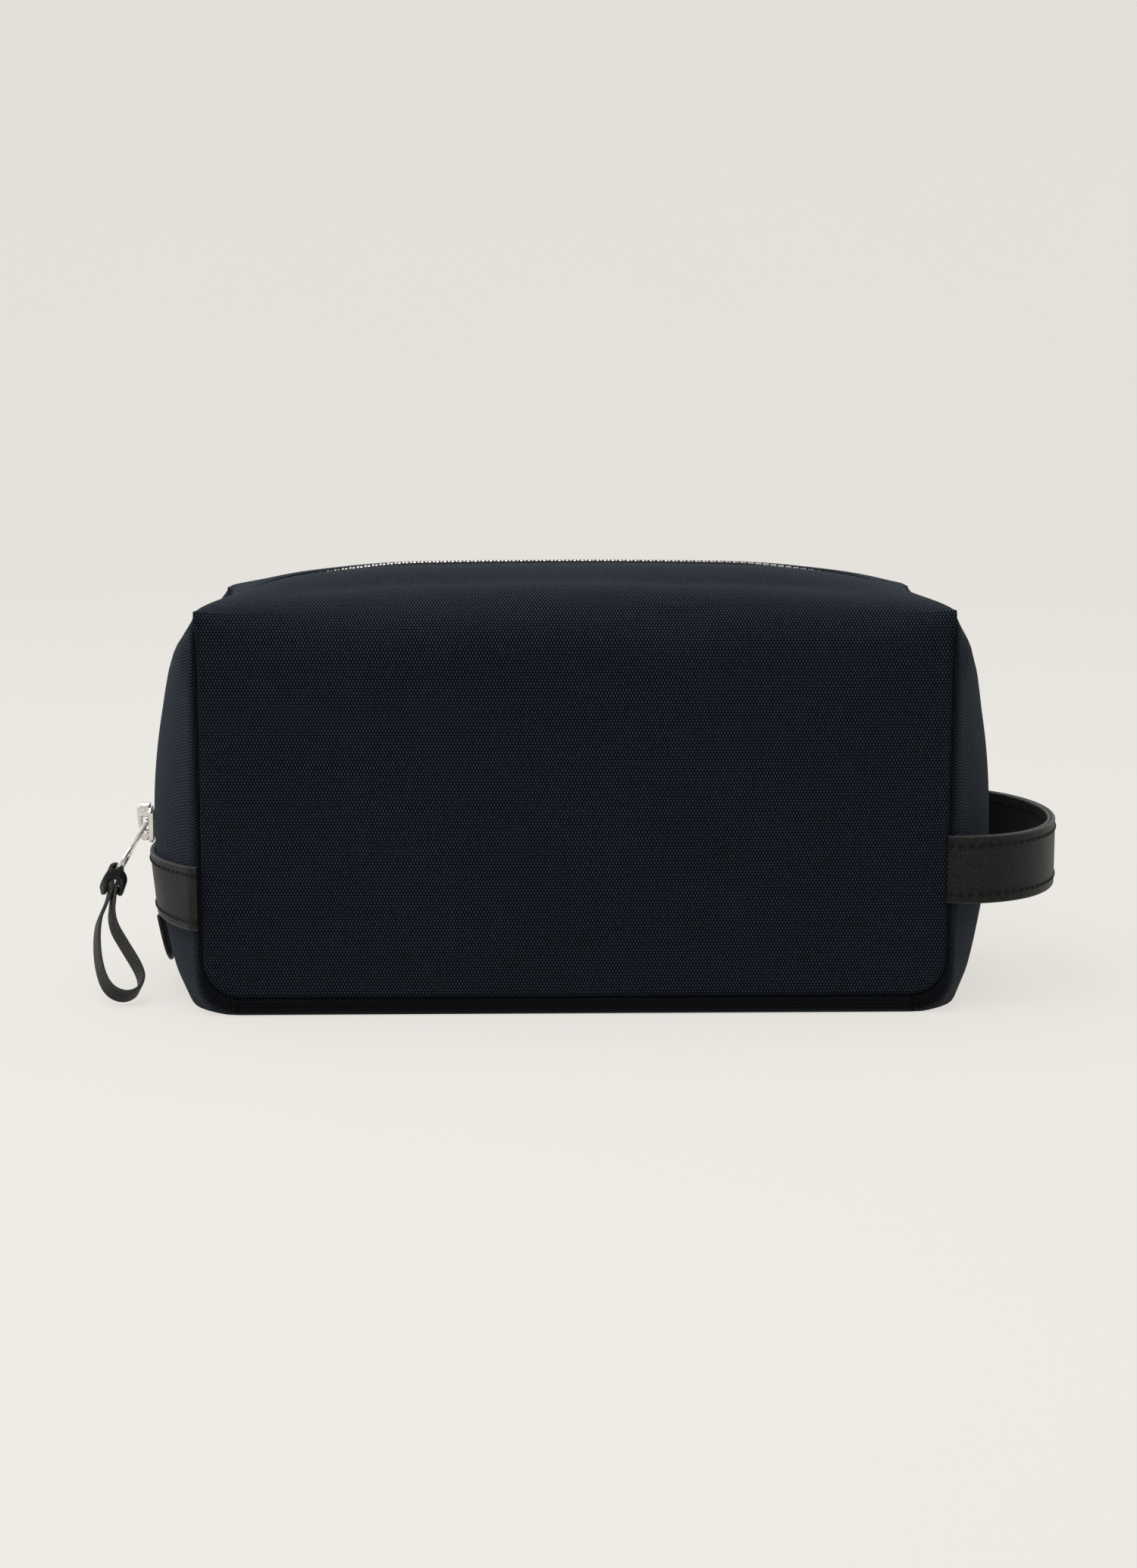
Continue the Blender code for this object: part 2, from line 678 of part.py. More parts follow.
def handle_layer(name, offset):
    """One leather layer of the handle, rounded at both ends about the joint's axis."""
    first = handle_span(HANDLE_START_X)

    def point(u, v):
        x, y = handle_line(first + (1 - 2 * first) * u)
        before = max(0.0, HANDLE_AXIS_X - x)
        return Vector((x, y, HANDLE_Z + (2 * v - 1) * math.sqrt(HANDLE_HALF ** 2 - before ** 2)))
    return sheet(name, point, 30, 2, HANDLE_LAYER, "leather", offset)


def handle():
    spread = 1 + GAP / HANDLE_LAYER
    outer = handle_layer("handle_outer_strap", spread)
    inner = handle_layer("handle_inner_strap", -spread)
    hang([outer, inner], pivot("handle_pivot", (HANDLE_AXIS_X, 0, HANDLE_Z)))
    half = HANDLE_LAYER + GAP / 2
    root_y = abs(handle_line(handle_span(HANDLE_START_X))[1])
    for face_name, face in FACES.items():
        y = face * root_y
        box(f"handle_anchor_{face_name}", (ANCHOR_X + 0.5 * MM, y - half, HANDLE_Z - HANDLE_HALF),
            (HANDLE_START_X - 2 * GAP, y + half, HANDLE_Z + HANDLE_HALF), "leather")


def build():
    clear_scene()
    make_materials()
    for face_name, face in FACES.items():
        wall_panel(face_name, face)
        lip(face_name, face)
    for side_name, side in SIDES.items():
        end_panels(side_name, side)
        end_zip(side_name, side)
    base()
    lining_tub()
    pocket()
    band()
    end_tab("left", -1, BAND_BOTTOM - BAND_DIP - 2 * GAP)
    end_tab("right", 1, ZIP_Z - 3 * MM)
    hang(slider(), pivot("slider_arc", (END_RADIUS - BELLY_X, 0, BELLY_Z)))
    hang([bail()], pivot("bail_pivot", BAIL_PIVOT))
    hang(leather_loop(), pivot("loop_hitch", hitch_frame().translation))
    handle()


build()
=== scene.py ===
"""Looks of the shaving kit bag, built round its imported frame.

Inside the script lengths are in millimetres, and they become metres where a mesh is made.
Frame: +X towards the carry handle, -Y is the front, +Z up, origin on the floor under the bag.
"""

import json
import math

import bmesh
import bpy
import numpy as np
from mathutils import Matrix, Vector, noise


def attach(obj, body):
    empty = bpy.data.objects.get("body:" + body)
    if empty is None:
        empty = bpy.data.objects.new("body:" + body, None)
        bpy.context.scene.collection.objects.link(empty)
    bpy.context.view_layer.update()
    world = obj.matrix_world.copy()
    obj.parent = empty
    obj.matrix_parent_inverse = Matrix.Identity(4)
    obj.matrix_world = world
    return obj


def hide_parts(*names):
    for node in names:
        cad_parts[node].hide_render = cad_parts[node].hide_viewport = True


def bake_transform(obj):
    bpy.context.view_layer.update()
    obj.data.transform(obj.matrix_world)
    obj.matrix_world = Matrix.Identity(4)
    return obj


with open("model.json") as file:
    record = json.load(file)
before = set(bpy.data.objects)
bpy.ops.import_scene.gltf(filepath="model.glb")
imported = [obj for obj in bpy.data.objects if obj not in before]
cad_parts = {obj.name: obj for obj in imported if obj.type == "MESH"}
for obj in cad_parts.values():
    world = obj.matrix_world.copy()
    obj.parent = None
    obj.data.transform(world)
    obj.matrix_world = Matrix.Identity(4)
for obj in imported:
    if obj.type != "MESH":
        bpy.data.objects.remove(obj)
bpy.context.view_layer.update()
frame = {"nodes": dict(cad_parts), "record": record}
MM = 0.001

# Cloth body
SEAM_X = 130.5
SEAM_Y = 57.0
SEAM_Z = 6.2
BELLY = 2.5
EAR_X = 131.4
EAR_Z = 142.8
SHOULDER_RISE = 8.5
ROLL_RADIUS = 24.0
EAR_RADIUS = 3.0
LIP_Z = 118.0
CORNER = 13.0
GROOVE = 1.7
GROOVE_WIDTH = 1.5
END_TURN = 1.25
BASE_TURN = 3.1
SPLIT_Z = 46.0
FLAT_EDGE_Y = 56.1
BASE_HALF = 138.0
BASE_SQUARENESS = 3.6
END_TURN_STOP = 50.0
BASE_TURN_STOP = 8.0
TOP_EDGE_Y = 14.3
INSIDE = (0, 0, 60)
ZIP_CENTRE_Z = 70
LINING_DEPTH = 2.6
WAVE_SEED = 3.0
CLOTH_STEP = 4.0
FINE_STEPS = (0, 0.2, 0.5, 0.9, 1.4, 2.0, 3.0, 4.5, 6.5, 9.5, 13.0)

# Bulge of the ends on the centre plane
BELLY_X = 153.0
BELLY_Z = 62.0
END_RADIUS = 215.0
TUCK = 9.5
TUCK_POWER = 2.3
CORNER_POWER = 1.85
END_POWER = 2.15
EAR_POWER = 3.2
PILLOW = 1.5

# Zip
ZIP_CORNER = ((142.0, 127.3), (136.8, 134.5), (128.8, 139.9), (116.5, 145.9))
ZIP_CROWN = ((99.7, 150.7), (70, 154), (35, 155), (0, 155.2))
ZIP_START_Z = 49.5
ZIP_GAP = 4.8
TOOTH_PITCH = 2.76

# Leather
BAND_TOP = 53.5
BAND_BOTTOM = 30.7
BAND_DIP = 5.0
LEATHER = 1.8
HANDLE_REACH = 177.6
HANDLE_SPREAD = 58.0
HANDLE_SQUARENESS = 0.82
HANDLE_HALF = 12.0
HANDLE_Z = 51.3
HANDLE_LAYER = 1.4
HANDLE_GAP = 0.3
HANDLE_ROOT_X = 130.4
HANDLE_MIDDLE = 0.04
HANDLE_STITCH_IN = 3.3
BAND_STITCH_IN = 3.0
BAND_SAG = 0.35
STITCH_PITCH = 3.5

# Zip pull
SLIDER_Z = 59.0
LINK_TURN = math.radians(4)
BAIL_PIVOT = (-156.6, 0.0, 60.0)
BAIL_TILT = math.radians(31)
RING_AT = 18.7
RING_RADIUS = 6.2
HITCH_ANGLE = math.radians(46)
LOOP_FOOT = (-160.5, -40.5, 3.4)
STRAP_WIDTH = 7.0
STRAP_THICKNESS = 1.3
LOOP_PLAN = [  # centre line of the leather loop from the top of the hitch, in its own plane
    (0, -3.3), (1.9, -2.2), (1.9, 0.5), (0.3, 3.6), (-0.9, 8.0), (-1.7, 12.5), (-2.3, 17.5), (-1.5, 23.5),
    (2.0, 31.5), (5.6, 39.5), (6.6, 45.0), (4.6, 49.8), (0.4, 52.0), (-4.0, 50.8), (-7.0, 46.5), (-8.5, 38.5),
    (-8.5, 29.0), (-7.2, 20.5), (-4.6, 14.0), (-2.6, 8.5), (-1.7, 3.6), (-2.1, 0.5), (-1.9, -2.2)]
COLLAR_HALF_X = 3.7
COLLAR_HALF_Z = 4.2
COLLAR_AT = 3.9

SIDES = {"left": -1, "right": 1}
FACES = {"front": -1, "rear": 1}


# ---------------------------------------------------------------- material nodes

def new_material(name):
    """A fresh material; returns it with its node tree and shader."""
    found = bpy.data.materials.new(name)
    found.use_nodes = True
    tree = found.node_tree
    return found, tree, tree.nodes["Principled BSDF"]


def fill(tree, made, inputs):
    """Gives a node its inputs; each may be a socket or a value."""
    for key, value in dict(inputs).items():
        if isinstance(value, bpy.types.NodeSocket):
            tree.links.new(value, made.inputs[key])
        else:
            made.inputs[key].default_value = value


def node(tree, kind, inputs=(), **settings):
    """A node with its settings and inputs. Returns its first output."""
    made = tree.nodes.new(kind)
    for key, value in settings.items():
        setattr(made, key, value)
    fill(tree, made, inputs)
    return made.outputs[0]


def calc(tree, operation, *values):
    return node(tree, "ShaderNodeMath", enumerate(values), operation=operation)


def ramp(tree, value, stops):
    """A colour ramp; stops are (position, (r, g, b))."""
    made = tree.nodes.new("ShaderNodeValToRGB")
    tree.links.new(value, made.inputs[0])
    elements = made.color_ramp.elements
    for element, (position, colour) in zip(elements, (stops[0], stops[-1])):
        element.position = position
        element.color = (*colour, 1)
    for position, colour in stops[1:-1]:
        elements.new(position).color = (*colour, 1)
    return made.outputs[0]


def mix_colour(tree, share, a, b, blend="MIX"):
    made = tree.nodes.new("ShaderNodeMix")
    made.data_type = "RGBA"
    made.blend_type = blend
    colours = {key: value if isinstance(value, bpy.types.NodeSocket) else (*value, 1)
               for key, value in ((6, a), (7, b))}
    fill(tree, made, {0: share, **colours})
    return made.outputs[2]


def noise_value(tree, scale, detail=3.0, vector=None):
    inputs = {"Scale": scale, "Detail": detail}
    if vector is not None:
        inputs["Vector"] = vector
    return node(tree, "ShaderNodeTexNoise", inputs)


def object_place(tree):
    """Position on the object, which is the row frame in metres."""
    made = tree.nodes.new("ShaderNodeTexCoord")
    return made.outputs["Object"]


def uv_axes(tree):
    """The surface's own two lengths in metres."""
    made = tree.nodes.new("ShaderNodeTexCoord")
    split = tree.nodes.new("ShaderNodeSeparateXYZ")
    tree.links.new(made.outputs["UV"], split.inputs[0])
    return split.outputs[0], split.outputs[1]


def bump(tree, height, distance, strength=1.0, normal=None):
    inputs = {"Height": height, "Distance": distance, "Strength": strength}
    if normal is not None:
        inputs["Normal"] = normal
    return node(tree, "ShaderNodeBump", inputs)


def hump(tree, value, power):
    """A rounded hump over each unit cell of value."""
    wave = calc(tree, "SINE", calc(tree, "MULTIPLY", calc(tree, "FRACT", value), math.pi))
    return calc(tree, "POWER", calc(tree, "ABSOLUTE", wave), power)


def weave(tree, warp_pitch, weft_pitch, wobble):
    """Plain weave: returns its height, and a mask that is 1 where the weft lies on top."""
    u, v = uv_axes(tree)
    place = object_place(tree)
    drift = calc(tree, "MULTIPLY", calc(tree, "SUBTRACT", noise_value(tree, 60, 2, place), 0.5), wobble)
    across = calc(tree, "DIVIDE", calc(tree, "ADD", u, drift), warp_pitch)
    along = calc(tree, "DIVIDE", calc(tree, "ADD", v, drift), weft_pitch)
    cells = calc(tree, "ADD", calc(tree, "FLOOR", across), calc(tree, "FLOOR", along))
    weft_over = calc(tree, "FLOORED_MODULO", cells, 2.0)
    warp_over = calc(tree, "SUBTRACT", 1.0, weft_over)
    weft = calc(tree, "MULTIPLY", hump(tree, along, 0.6), hump(tree, across, 0.8))
    warp = calc(tree, "MULTIPLY", hump(tree, across, 0.7), hump(tree, along, 0.5))
    height = calc(tree, "ADD", calc(tree, "MULTIPLY", weft, weft_over),
                  calc(tree, "MULTIPLY", calc(tree, "MULTIPLY", warp, 0.55), warp_over))
    return height, weft_over


def canvas_material():
    """Heavy navy canvas: thick weft rows over finer warp, with slubs and a dusty sheen."""
    found, tree, shader = new_material("navy_canvas")
    height, weft_over = weave(tree, 0.00055, 0.00108, 0.0004)
    place = object_place(tree)
    slubs = noise_value(tree, 900, 2, place)
    patches = noise_value(tree, 26, 4, place)
    # The weave and its slubs are the cloth's own; the yarn is also painted lighter where it rises and where the weft
    # lies on top, and darker in the valleys, a painted light and shade on the weave.
    light = calc(tree, "MULTIPLY", height, calc(tree, "ADD", 0.35, calc(tree, "MULTIPLY", weft_over, 0.65)))
    light = calc(tree, "MULTIPLY", light, calc(tree, "ADD", 0.45, slubs))
    yarn = ramp(tree, light, ((0.0, (0.0006, 0.0009, 0.0022)), (0.38, (0.0012, 0.0021, 0.0050)),
                              (1.0, (0.040, 0.052, 0.078))))
    shade = ramp(tree, patches, ((0.3, (0.90, 0.91, 0.92)), (0.7, (1.08, 1.07, 1.06))))
    # Painted shade: a point attribute darkens the cloth towards near black in the seams' turned-in edges, in the hem
    # at the zip and at the foot of the gusset.
    painted_shade_factor = tree.nodes.new("ShaderNodeAttribute")
    painted_shade_factor.attribute_name = "painted_shade_factor"
    shade = mix_colour(tree, painted_shade_factor.outputs["Fac"], (0.02, 0.02, 0.02), shade)
    fibres = noise_value(tree, 2600, 2, place)
    normal = bump(tree, height, 0.00028, 0.9)
    fill(tree, shader, {
        "Base Color": mix_colour(tree, 1.0, yarn, shade, "MULTIPLY"),
        "Normal": bump(tree, fibres, 0.00006, 0.5, normal),
        "Roughness": calc(tree, "ADD", 0.78, calc(tree, "MULTIPLY", slubs, 0.2)),
        "Specular IOR Level": 0.06, "Sheen Weight": 0.07, "Sheen Roughness": 0.45,
        "Sheen Tint": (0.55, 0.68, 0.85, 1)})
    return found


def leather_material(name, dark, light, roughness):
    """Fine-grained leather: pebbles with creases between them, and worn lighter patches."""
    found, tree, shader = new_material(name)
    place = object_place(tree)
    stretched = node(tree, "ShaderNodeMapping", {"Vector": place, "Scale": (1.0, 1.0, 1.25)})
    cells = tree.nodes.new("ShaderNodeTexVoronoi")
    cells.feature = "DISTANCE_TO_EDGE"
    cells.inputs["Scale"].default_value = 1250
    tree.links.new(stretched, cells.inputs["Vector"])
    pebbles = calc(tree, "MINIMUM", calc(tree, "MULTIPLY", cells.outputs["Distance"], 3.0), 1.0)
    grain = noise_value(tree, 2400, 3, place)
    wear = noise_value(tree, 45, 5, place)
    tone = calc(tree, "ADD", calc(tree, "MULTIPLY", pebbles, 0.5), calc(tree, "MULTIPLY", wear, 0.5))
    tone = calc(tree, "ADD", tone, calc(tree, "MULTIPLY", calc(tree, "SUBTRACT", grain, 0.5), 0.3))
    uneven = calc(tree, "MULTIPLY", calc(tree, "SUBTRACT", wear, 0.5), 0.25)
    relief = calc(tree, "ADD", pebbles, calc(tree, "MULTIPLY", grain, 0.6))
    fill(tree, shader, {
        "Base Color": ramp(tree, tone, ((0.25, dark), (0.85, light))),
        "Normal": bump(tree, relief, 0.00030, 0.9),
        "Roughness": calc(tree, "ADD", roughness, uneven),
        "Specular IOR Level": 0.19})
    return found


def nickel_material(name, dark, light):
    """Polished nickel with faint scratches and smudges."""
    found, tree, shader = new_material(name)
    place = object_place(tree)
    smudges = noise_value(tree, 300, 4, place)
    scratches = noise_value(tree, 1500, 2, node(
        tree, "ShaderNodeMapping", {"Vector": place, "Scale": (1.0, 1.0, 0.08)}))
    fill(tree, shader, {
        "Base Color": ramp(tree, smudges, ((0.3, dark), (0.75, light))),
        "Normal": bump(tree, scratches, 0.00002, 0.35),
        "Roughness": calc(tree, "ADD", 0.13, calc(tree, "MULTIPLY", smudges, 0.16)),
        "Metallic": 1.0})
    return found


def woven_material(name, dark, light, warp_pitch, weft_pitch, depth, roughness):
    """A finer woven cloth, for the zip tape, the thread and the lining."""
    found, tree, shader = new_material(name)
    height, weft_over = weave(tree, warp_pitch, weft_pitch, 0.0001)
    fuzz = noise_value(tree, 1400, 3, object_place(tree))
    tone = calc(tree, "ADD", calc(tree, "MULTIPLY", height, 0.7), calc(tree, "MULTIPLY", fuzz, 0.3))
    fill(tree, shader, {
        "Base Color": ramp(tree, tone, ((0.1, dark), (0.9, light))),
        "Normal": bump(tree, height, depth, 0.8),
        "Roughness": calc(tree, "ADD", roughness, calc(tree, "MULTIPLY", weft_over, 0.06)),
        "Specular IOR Level": 0.15})
    return found


def board_material():
    """Grey stiffening board with fibre flecks."""
    found, tree, shader = new_material("stiffening_board")
    flecks = noise_value(tree, 700, 5, object_place(tree))
    fill(tree, shader, {
        "Base Color": ramp(tree, flecks, ((0.3, (0.13, 0.115, 0.095)), (0.7, (0.27, 0.245, 0.21)))),
        "Normal": bump(tree, flecks, 0.0001, 0.4),
        "Roughness": 0.85})
    return found


MATERIALS = {
    "canvas": canvas_material(),
    "leather": leather_material("black_leather", (0.0012, 0.0012, 0.0013), (0.0075, 0.0074, 0.0074), 0.45),
    "flesh": leather_material("leather_back", (0.0012, 0.0012, 0.0012), (0.0032, 0.0031, 0.0030), 0.8),
    "edge": leather_material("painted_leather_edge", (0.014, 0.014, 0.0145), (0.045, 0.045, 0.046), 0.36),
    "nickel": nickel_material("polished_nickel", (0.60, 0.585, 0.56), (0.80, 0.785, 0.76)),
    # The zip's teeth take a darker nickel than the slider.
    "zip_metal": nickel_material("darker_zip_nickel", (0.24, 0.235, 0.225), (0.52, 0.505, 0.48)),
    "zip_tape": woven_material("black_zip_tape", (0.002, 0.002, 0.0025), (0.012, 0.012, 0.013),
                               0.00035, 0.0005, 0.0001, 0.8),
    "thread": woven_material("black_thread", (0.0006, 0.0006, 0.0007), (0.0024, 0.0024, 0.0026),
                             0.0003, 0.0006, 0.00008, 0.6),
    "lining": woven_material("coated_lining", (0.045, 0.052, 0.066), (0.115, 0.128, 0.150),
                             0.0004, 0.0004, 0.00008, 0.55),
    "board": board_material(),
}


# ---------------------------------------------------------------- mesh helpers

def make_piece(name, points, faces, materials, uvs=None, face_materials=None, smooth=True):
    """A mesh object from points in millimetres; uvs are one (u, v) in millimetres for each point."""
    mesh = bpy.data.meshes.new(name)
    mesh.from_pydata((np.asarray(points, float) * MM).tolist(), [], [list(map(int, f)) for f in faces])
    for key in materials:
        mesh.materials.append(MATERIALS[key])
    if uvs is not None:
        layer = mesh.uv_layers.new(name="UVMap")
        corner_points = np.zeros(len(mesh.loops), np.int64)
        mesh.loops.foreach_get("vertex_index", corner_points)
        layer.data.foreach_set("uv", (np.asarray(uvs, float) * MM)[corner_points].astype(np.float32).ravel())
    if face_materials is not None:
        mesh.polygons.foreach_set("material_index", np.asarray(face_materials, np.int32))
    if smooth:
        mesh.shade_smooth()
    mesh.update()
    obj = bpy.data.objects.new(name, mesh)
    bpy.context.scene.collection.objects.link(obj)
    return obj


def numbered(rows):
    """Point numbers of an array of rows of points."""
    return np.arange(rows.shape[0] * rows.shape[1]).reshape(rows.shape[:2])


def running_length(points):
    """Distance along a line at each of its points."""
    return np.concatenate([[0], np.cumsum(np.linalg.norm(np.diff(points, axis=0), axis=1))])


def grid_faces(index, flip=False):
    """Quads between neighbouring rows and columns of an array of point numbers."""
    a, b, c, d = index[:-1, :-1], index[:-1, 1:], index[1:, 1:], index[1:, :-1]
    order = (a, d, c, b) if flip else (a, b, c, d)
    return np.stack([o.ravel() for o in order], axis=1)


def shade_points(obj, values):
    """Stores the painted shade of each point of the cloth: 1 where none is painted, less where the seams and the base
    are painted dark.
    """
    layer = obj.data.attributes.new("painted_shade_factor", "FLOAT", "POINT")
    layer.data.foreach_set("value", np.asarray(values, np.float32))


def mouth_blend(obj):
    """Bakes the piece's transform into its mesh."""
    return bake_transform(obj)


def graded(length, step, fine=FINE_STEPS):
    """Distances from an edge: the fine ones first, then even steps up to length."""
    count = max(1, round((length - fine[-1]) / step))
    return np.concatenate([fine, np.linspace(fine[-1], length, count + 1)[1:]])


def ease(value):
    t = np.clip(value, 0.0, 1.0)
    return t * t * (3 - 2 * t)


def lerp(a, b, t):
    return a + (b - a) * t


def sweep(name, place, stations, section, materials, closed=False, edge_faces=None):
    """A solid swept along stations: place(station, a, b) puts each section point (a, b) in space.
    edge_faces says, for each side of the section, which of the materials it takes."""
    count = len(section)
    points = [place(s, a, b) for s in stations for a, b in section]
    lengths = [0.0]
    for (a0, b0), (a1, b1) in zip(section, section[1:]):
        lengths.append(lengths[-1] + math.hypot(a1 - a0, b1 - b0))
    centres = np.array(points).reshape(len(stations), count, 3).mean(axis=1)
    run = running_length(centres)
    uvs = [(r, w) for r in run for w in lengths]
    rows = len(stations)
    faces = []
    kinds = []
    for j in range(rows if closed else rows - 1):
        k = (j + 1) % rows
        for i in range(count):
            n = (i + 1) % count
            faces.append((j * count + i, j * count + n, k * count + n, k * count + i))
            kinds.append(edge_faces[i] if edge_faces else 0)
    if not closed:
        faces.append(tuple(range(count))[::-1])
        faces.append(tuple(range((rows - 1) * count, rows * count)))
        kinds += [max(kinds)] * 2
    obj = make_piece(name, points, faces, materials, uvs, kinds)
    fix_normals(obj)
    obj.data.set_sharp_from_angle(angle=math.radians(50))
    return obj


def fix_normals(obj):
    """Points a closed mesh's faces outwards."""
    bm = bmesh.new()
    bm.from_mesh(obj.data)
    bmesh.ops.recalc_face_normals(bm, faces=bm.faces)
    bm.to_mesh(obj.data)
    bm.free()


def rounded_section(width, thickness, radius, steps=3):
    """A rounded rectangle round the origin as (a, b), and for each side 1 where it is an edge."""
    corners = ((1, 1, 0), (-1, 1, 90), (-1, -1, 180), (1, -1, 270))
    points = []
    for sx, sy, start in corners:
        centre = (sx * (width / 2 - radius), sy * (thickness / 2 - radius))
        for k in range(steps + 1):
            angle = math.radians(start + 90 * k / steps)
            points.append((centre[0] + radius * math.cos(angle), centre[1] + radius * math.sin(angle)))
    sides = []
    for (a0, b0), (a1, b1) in zip(points, points[1:] + points[:1]):
        flat = abs(b1 - b0) < 1e-6 and abs(a1 - a0) > radius
        sides.append(0 if flat else 1)
    return points, sides


def instances(name, template, frames, materials):
    """One mesh of many copies; template is (points, faces), frames are (place, x, y, z axes)."""
    shape, faces = template
    shape = np.asarray(shape, float)
    points = []
    copies = []
    for k, (place, x_axis, y_axis, z_axis) in enumerate(frames):
        axes = np.array([x_axis, y_axis, z_axis])
        points.append(np.asarray(place) + shape @ axes)
        copies += [tuple(i + k * len(shape) for i in face) for face in faces]
    uvs = np.tile(shape[:, :2], (len(frames), 1))
    obj = make_piece(name, np.concatenate(points), copies, materials, uvs)
    obj.data.set_sharp_from_angle(angle=math.radians(45))
    return obj


def unit(vector):
    vector = np.asarray(vector, float)
    return vector / np.linalg.norm(vector)


def path_frames(points, up_hint):
    """Unit tangents of a line, and its normals nearest to up_hint, which is one vector or one for each point."""
    points = np.asarray(points, float)
    tangents = np.gradient(points, axis=0)
    tangents /= np.linalg.norm(tangents, axis=1)[:, None]
    hints = np.broadcast_to(np.asarray(up_hint, float), points.shape)
    normals = hints - (hints * tangents).sum(axis=1)[:, None] * tangents
    normals /= np.linalg.norm(normals, axis=1)[:, None]
    return tangents, normals


def resample(points, pitch, start=0.0, end=0.0):
    """Points at even distances along a line, leaving out a length at each end."""
    points = np.asarray(points, float)
    run = running_length(points)
    count = max(2, int(round((run[-1] - start - end) / pitch)) + 1)
    at = np.linspace(start, run[-1] - end, count)
    return np.stack([np.interp(at, run, points[:, k]) for k in range(points.shape[1])], axis=1)


def capsule(length, width, height, rings=5, sides=6):
    """A stitch: a small rounded bar along x, as (points, faces)."""
    points = [(-length / 2, 0, 0)]
    for k in range(rings):
        turn = math.pi * (k + 1) / (rings + 1)
        for s in range(sides):
            angle = 2 * math.pi * s / sides
            points.append((-length / 2 * math.cos(turn), width / 2 * math.sin(turn) ** 0.5 * math.cos(angle),
                           height / 2 * math.sin(turn) ** 0.5 * math.sin(angle)))
    points.append((length / 2, 0, 0))
    last = len(points) - 1
    faces = [(0, 1 + (s + 1) % sides, 1 + s) for s in range(sides)]
    for k in range(rings - 1):
        for s in range(sides):
            a, b = 1 + k * sides + s, 1 + k * sides + (s + 1) % sides
            faces.append((a, b, b + sides, a + sides))
    base = 1 + (rings - 1) * sides
    faces += [(base + s, base + (s + 1) % sides, last) for s in range(sides)]
    return points, faces


def stitch_row(name, line, normals, pitch=STITCH_PITCH, length=2.3, slant=0.2):
    """Stitches of thread along a line on a surface."""
    template = capsule(length, 0.85, 0.75)
    both = resample(np.hstack([line, normals]), pitch, pitch * 0.4, pitch * 0.4)
    places, ups = both[:, :3], both[:, 3:]
    tangents, ups = path_frames(places, ups)
    frames = []
    for place, tangent, up in zip(places, tangents, ups):
        side = np.cross(up, tangent)
        leaning = unit(tangent + slant * side)
        frames.append((place + up * 0.08, leaning, np.cross(up, leaning), up))
    return instances(name, template, frames, ["thread"])


# ---------------------------------------------------------------- shared shape of the bag

def end_x(z):
    """How far the end reaches on the centre plane, up to the lip."""
    z = np.asarray(z, float)
    low = BELLY_X - TUCK * (np.maximum(BELLY_Z - z, 0) / BELLY_Z) ** TUCK_POWER
    high = BELLY_X - END_RADIUS + np.sqrt(END_RADIUS ** 2 - np.maximum(z - BELLY_Z, 0) ** 2)
    return np.where(z < BELLY_Z, low, high)


def catmull(points, per_span):
    """A smooth line through points, with its ends carried on straight."""
    p = np.asarray(points, float)
    p = np.vstack([2 * p[0] - p[1], p, 2 * p[-1] - p[-2]])
    line = []
    for k in range(1, len(p) - 2):
        for f in np.arange(per_span) / per_span:
            line.append(0.5 * (2 * p[k] + (p[k + 1] - p[k - 1]) * f
                               + (2 * p[k - 1] - 5 * p[k] + 4 * p[k + 1] - p[k + 2]) * f ** 2
                               + (3 * p[k] - p[k - 1] - 3 * p[k + 1] + p[k + 2]) * f ** 3))
    line.append(p[-2])
    return np.array(line)


# The zip's line over half of the top, from the lip's edge to the middle, as (x, z)
ZIP_HALF = catmull([(float(end_x(LIP_Z)), LIP_Z), *ZIP_CORNER, *ZIP_CROWN, (-35, 155)], 16)[:-16]


def zip_top(x):
    return np.interp(np.abs(x), ZIP_HALF[::-1, 0], ZIP_HALF[::-1, 1])


def centre_x(z):
    """How far the end reaches on the centre plane, over the corner as well."""
    z = np.asarray(z, float)
    return np.where(z <= LIP_Z, end_x(z), np.interp(z, ZIP_HALF[:, 1], ZIP_HALF[:, 0]))


def zip_line(low_left, low_right):
    """The whole line of the zip as (x, y, z), from low on the left end to low on the right end."""
    up = np.linspace(low_left, LIP_Z, 60)[:-1]
    down = np.linspace(LIP_Z, low_right, 60)[1:]
    left = np.stack([-end_x(up), up], axis=1)
    right = np.stack([end_x(down), down], axis=1)
    over = np.vstack([ZIP_HALF * (-1, 1), ZIP_HALF[-2::-1]])
    line = np.vstack([left, over, right])
    return np.stack([line[:, 0], np.zeros(len(line)), line[:, 1]], axis=1)


def zip_frames(line):
    """Outward normals of the zip's line."""
    return path_frames(line, line - (0, 0, ZIP_CENTRE_Z))[1]


def end_power(z):
    """How square the bulge of an end is at this height: pointed near the floor, square by the ears."""
    low = lerp(CORNER_POWER, END_POWER, ease((z - 20) / 26))
    return low + (EAR_POWER - END_POWER) * ease((z - 100) / 32)


def wall_y(x, z):
    across = np.cos(math.pi / 2 * np.minimum(1.0, np.abs(x) / SEAM_X))
    return SEAM_Y + BELLY * across * np.sin(math.pi * np.minimum(z, EAR_Z) / EAR_Z)


def shoulder(x):
    """Height of the shoulder and radius of its roll at x."""
    near = np.minimum(1.0, np.abs(x) / SEAM_X)
    return EAR_Z + SHOULDER_RISE * (1 - near ** 2), EAR_RADIUS + (ROLL_RADIUS - EAR_RADIUS) * (1 - near ** 6)


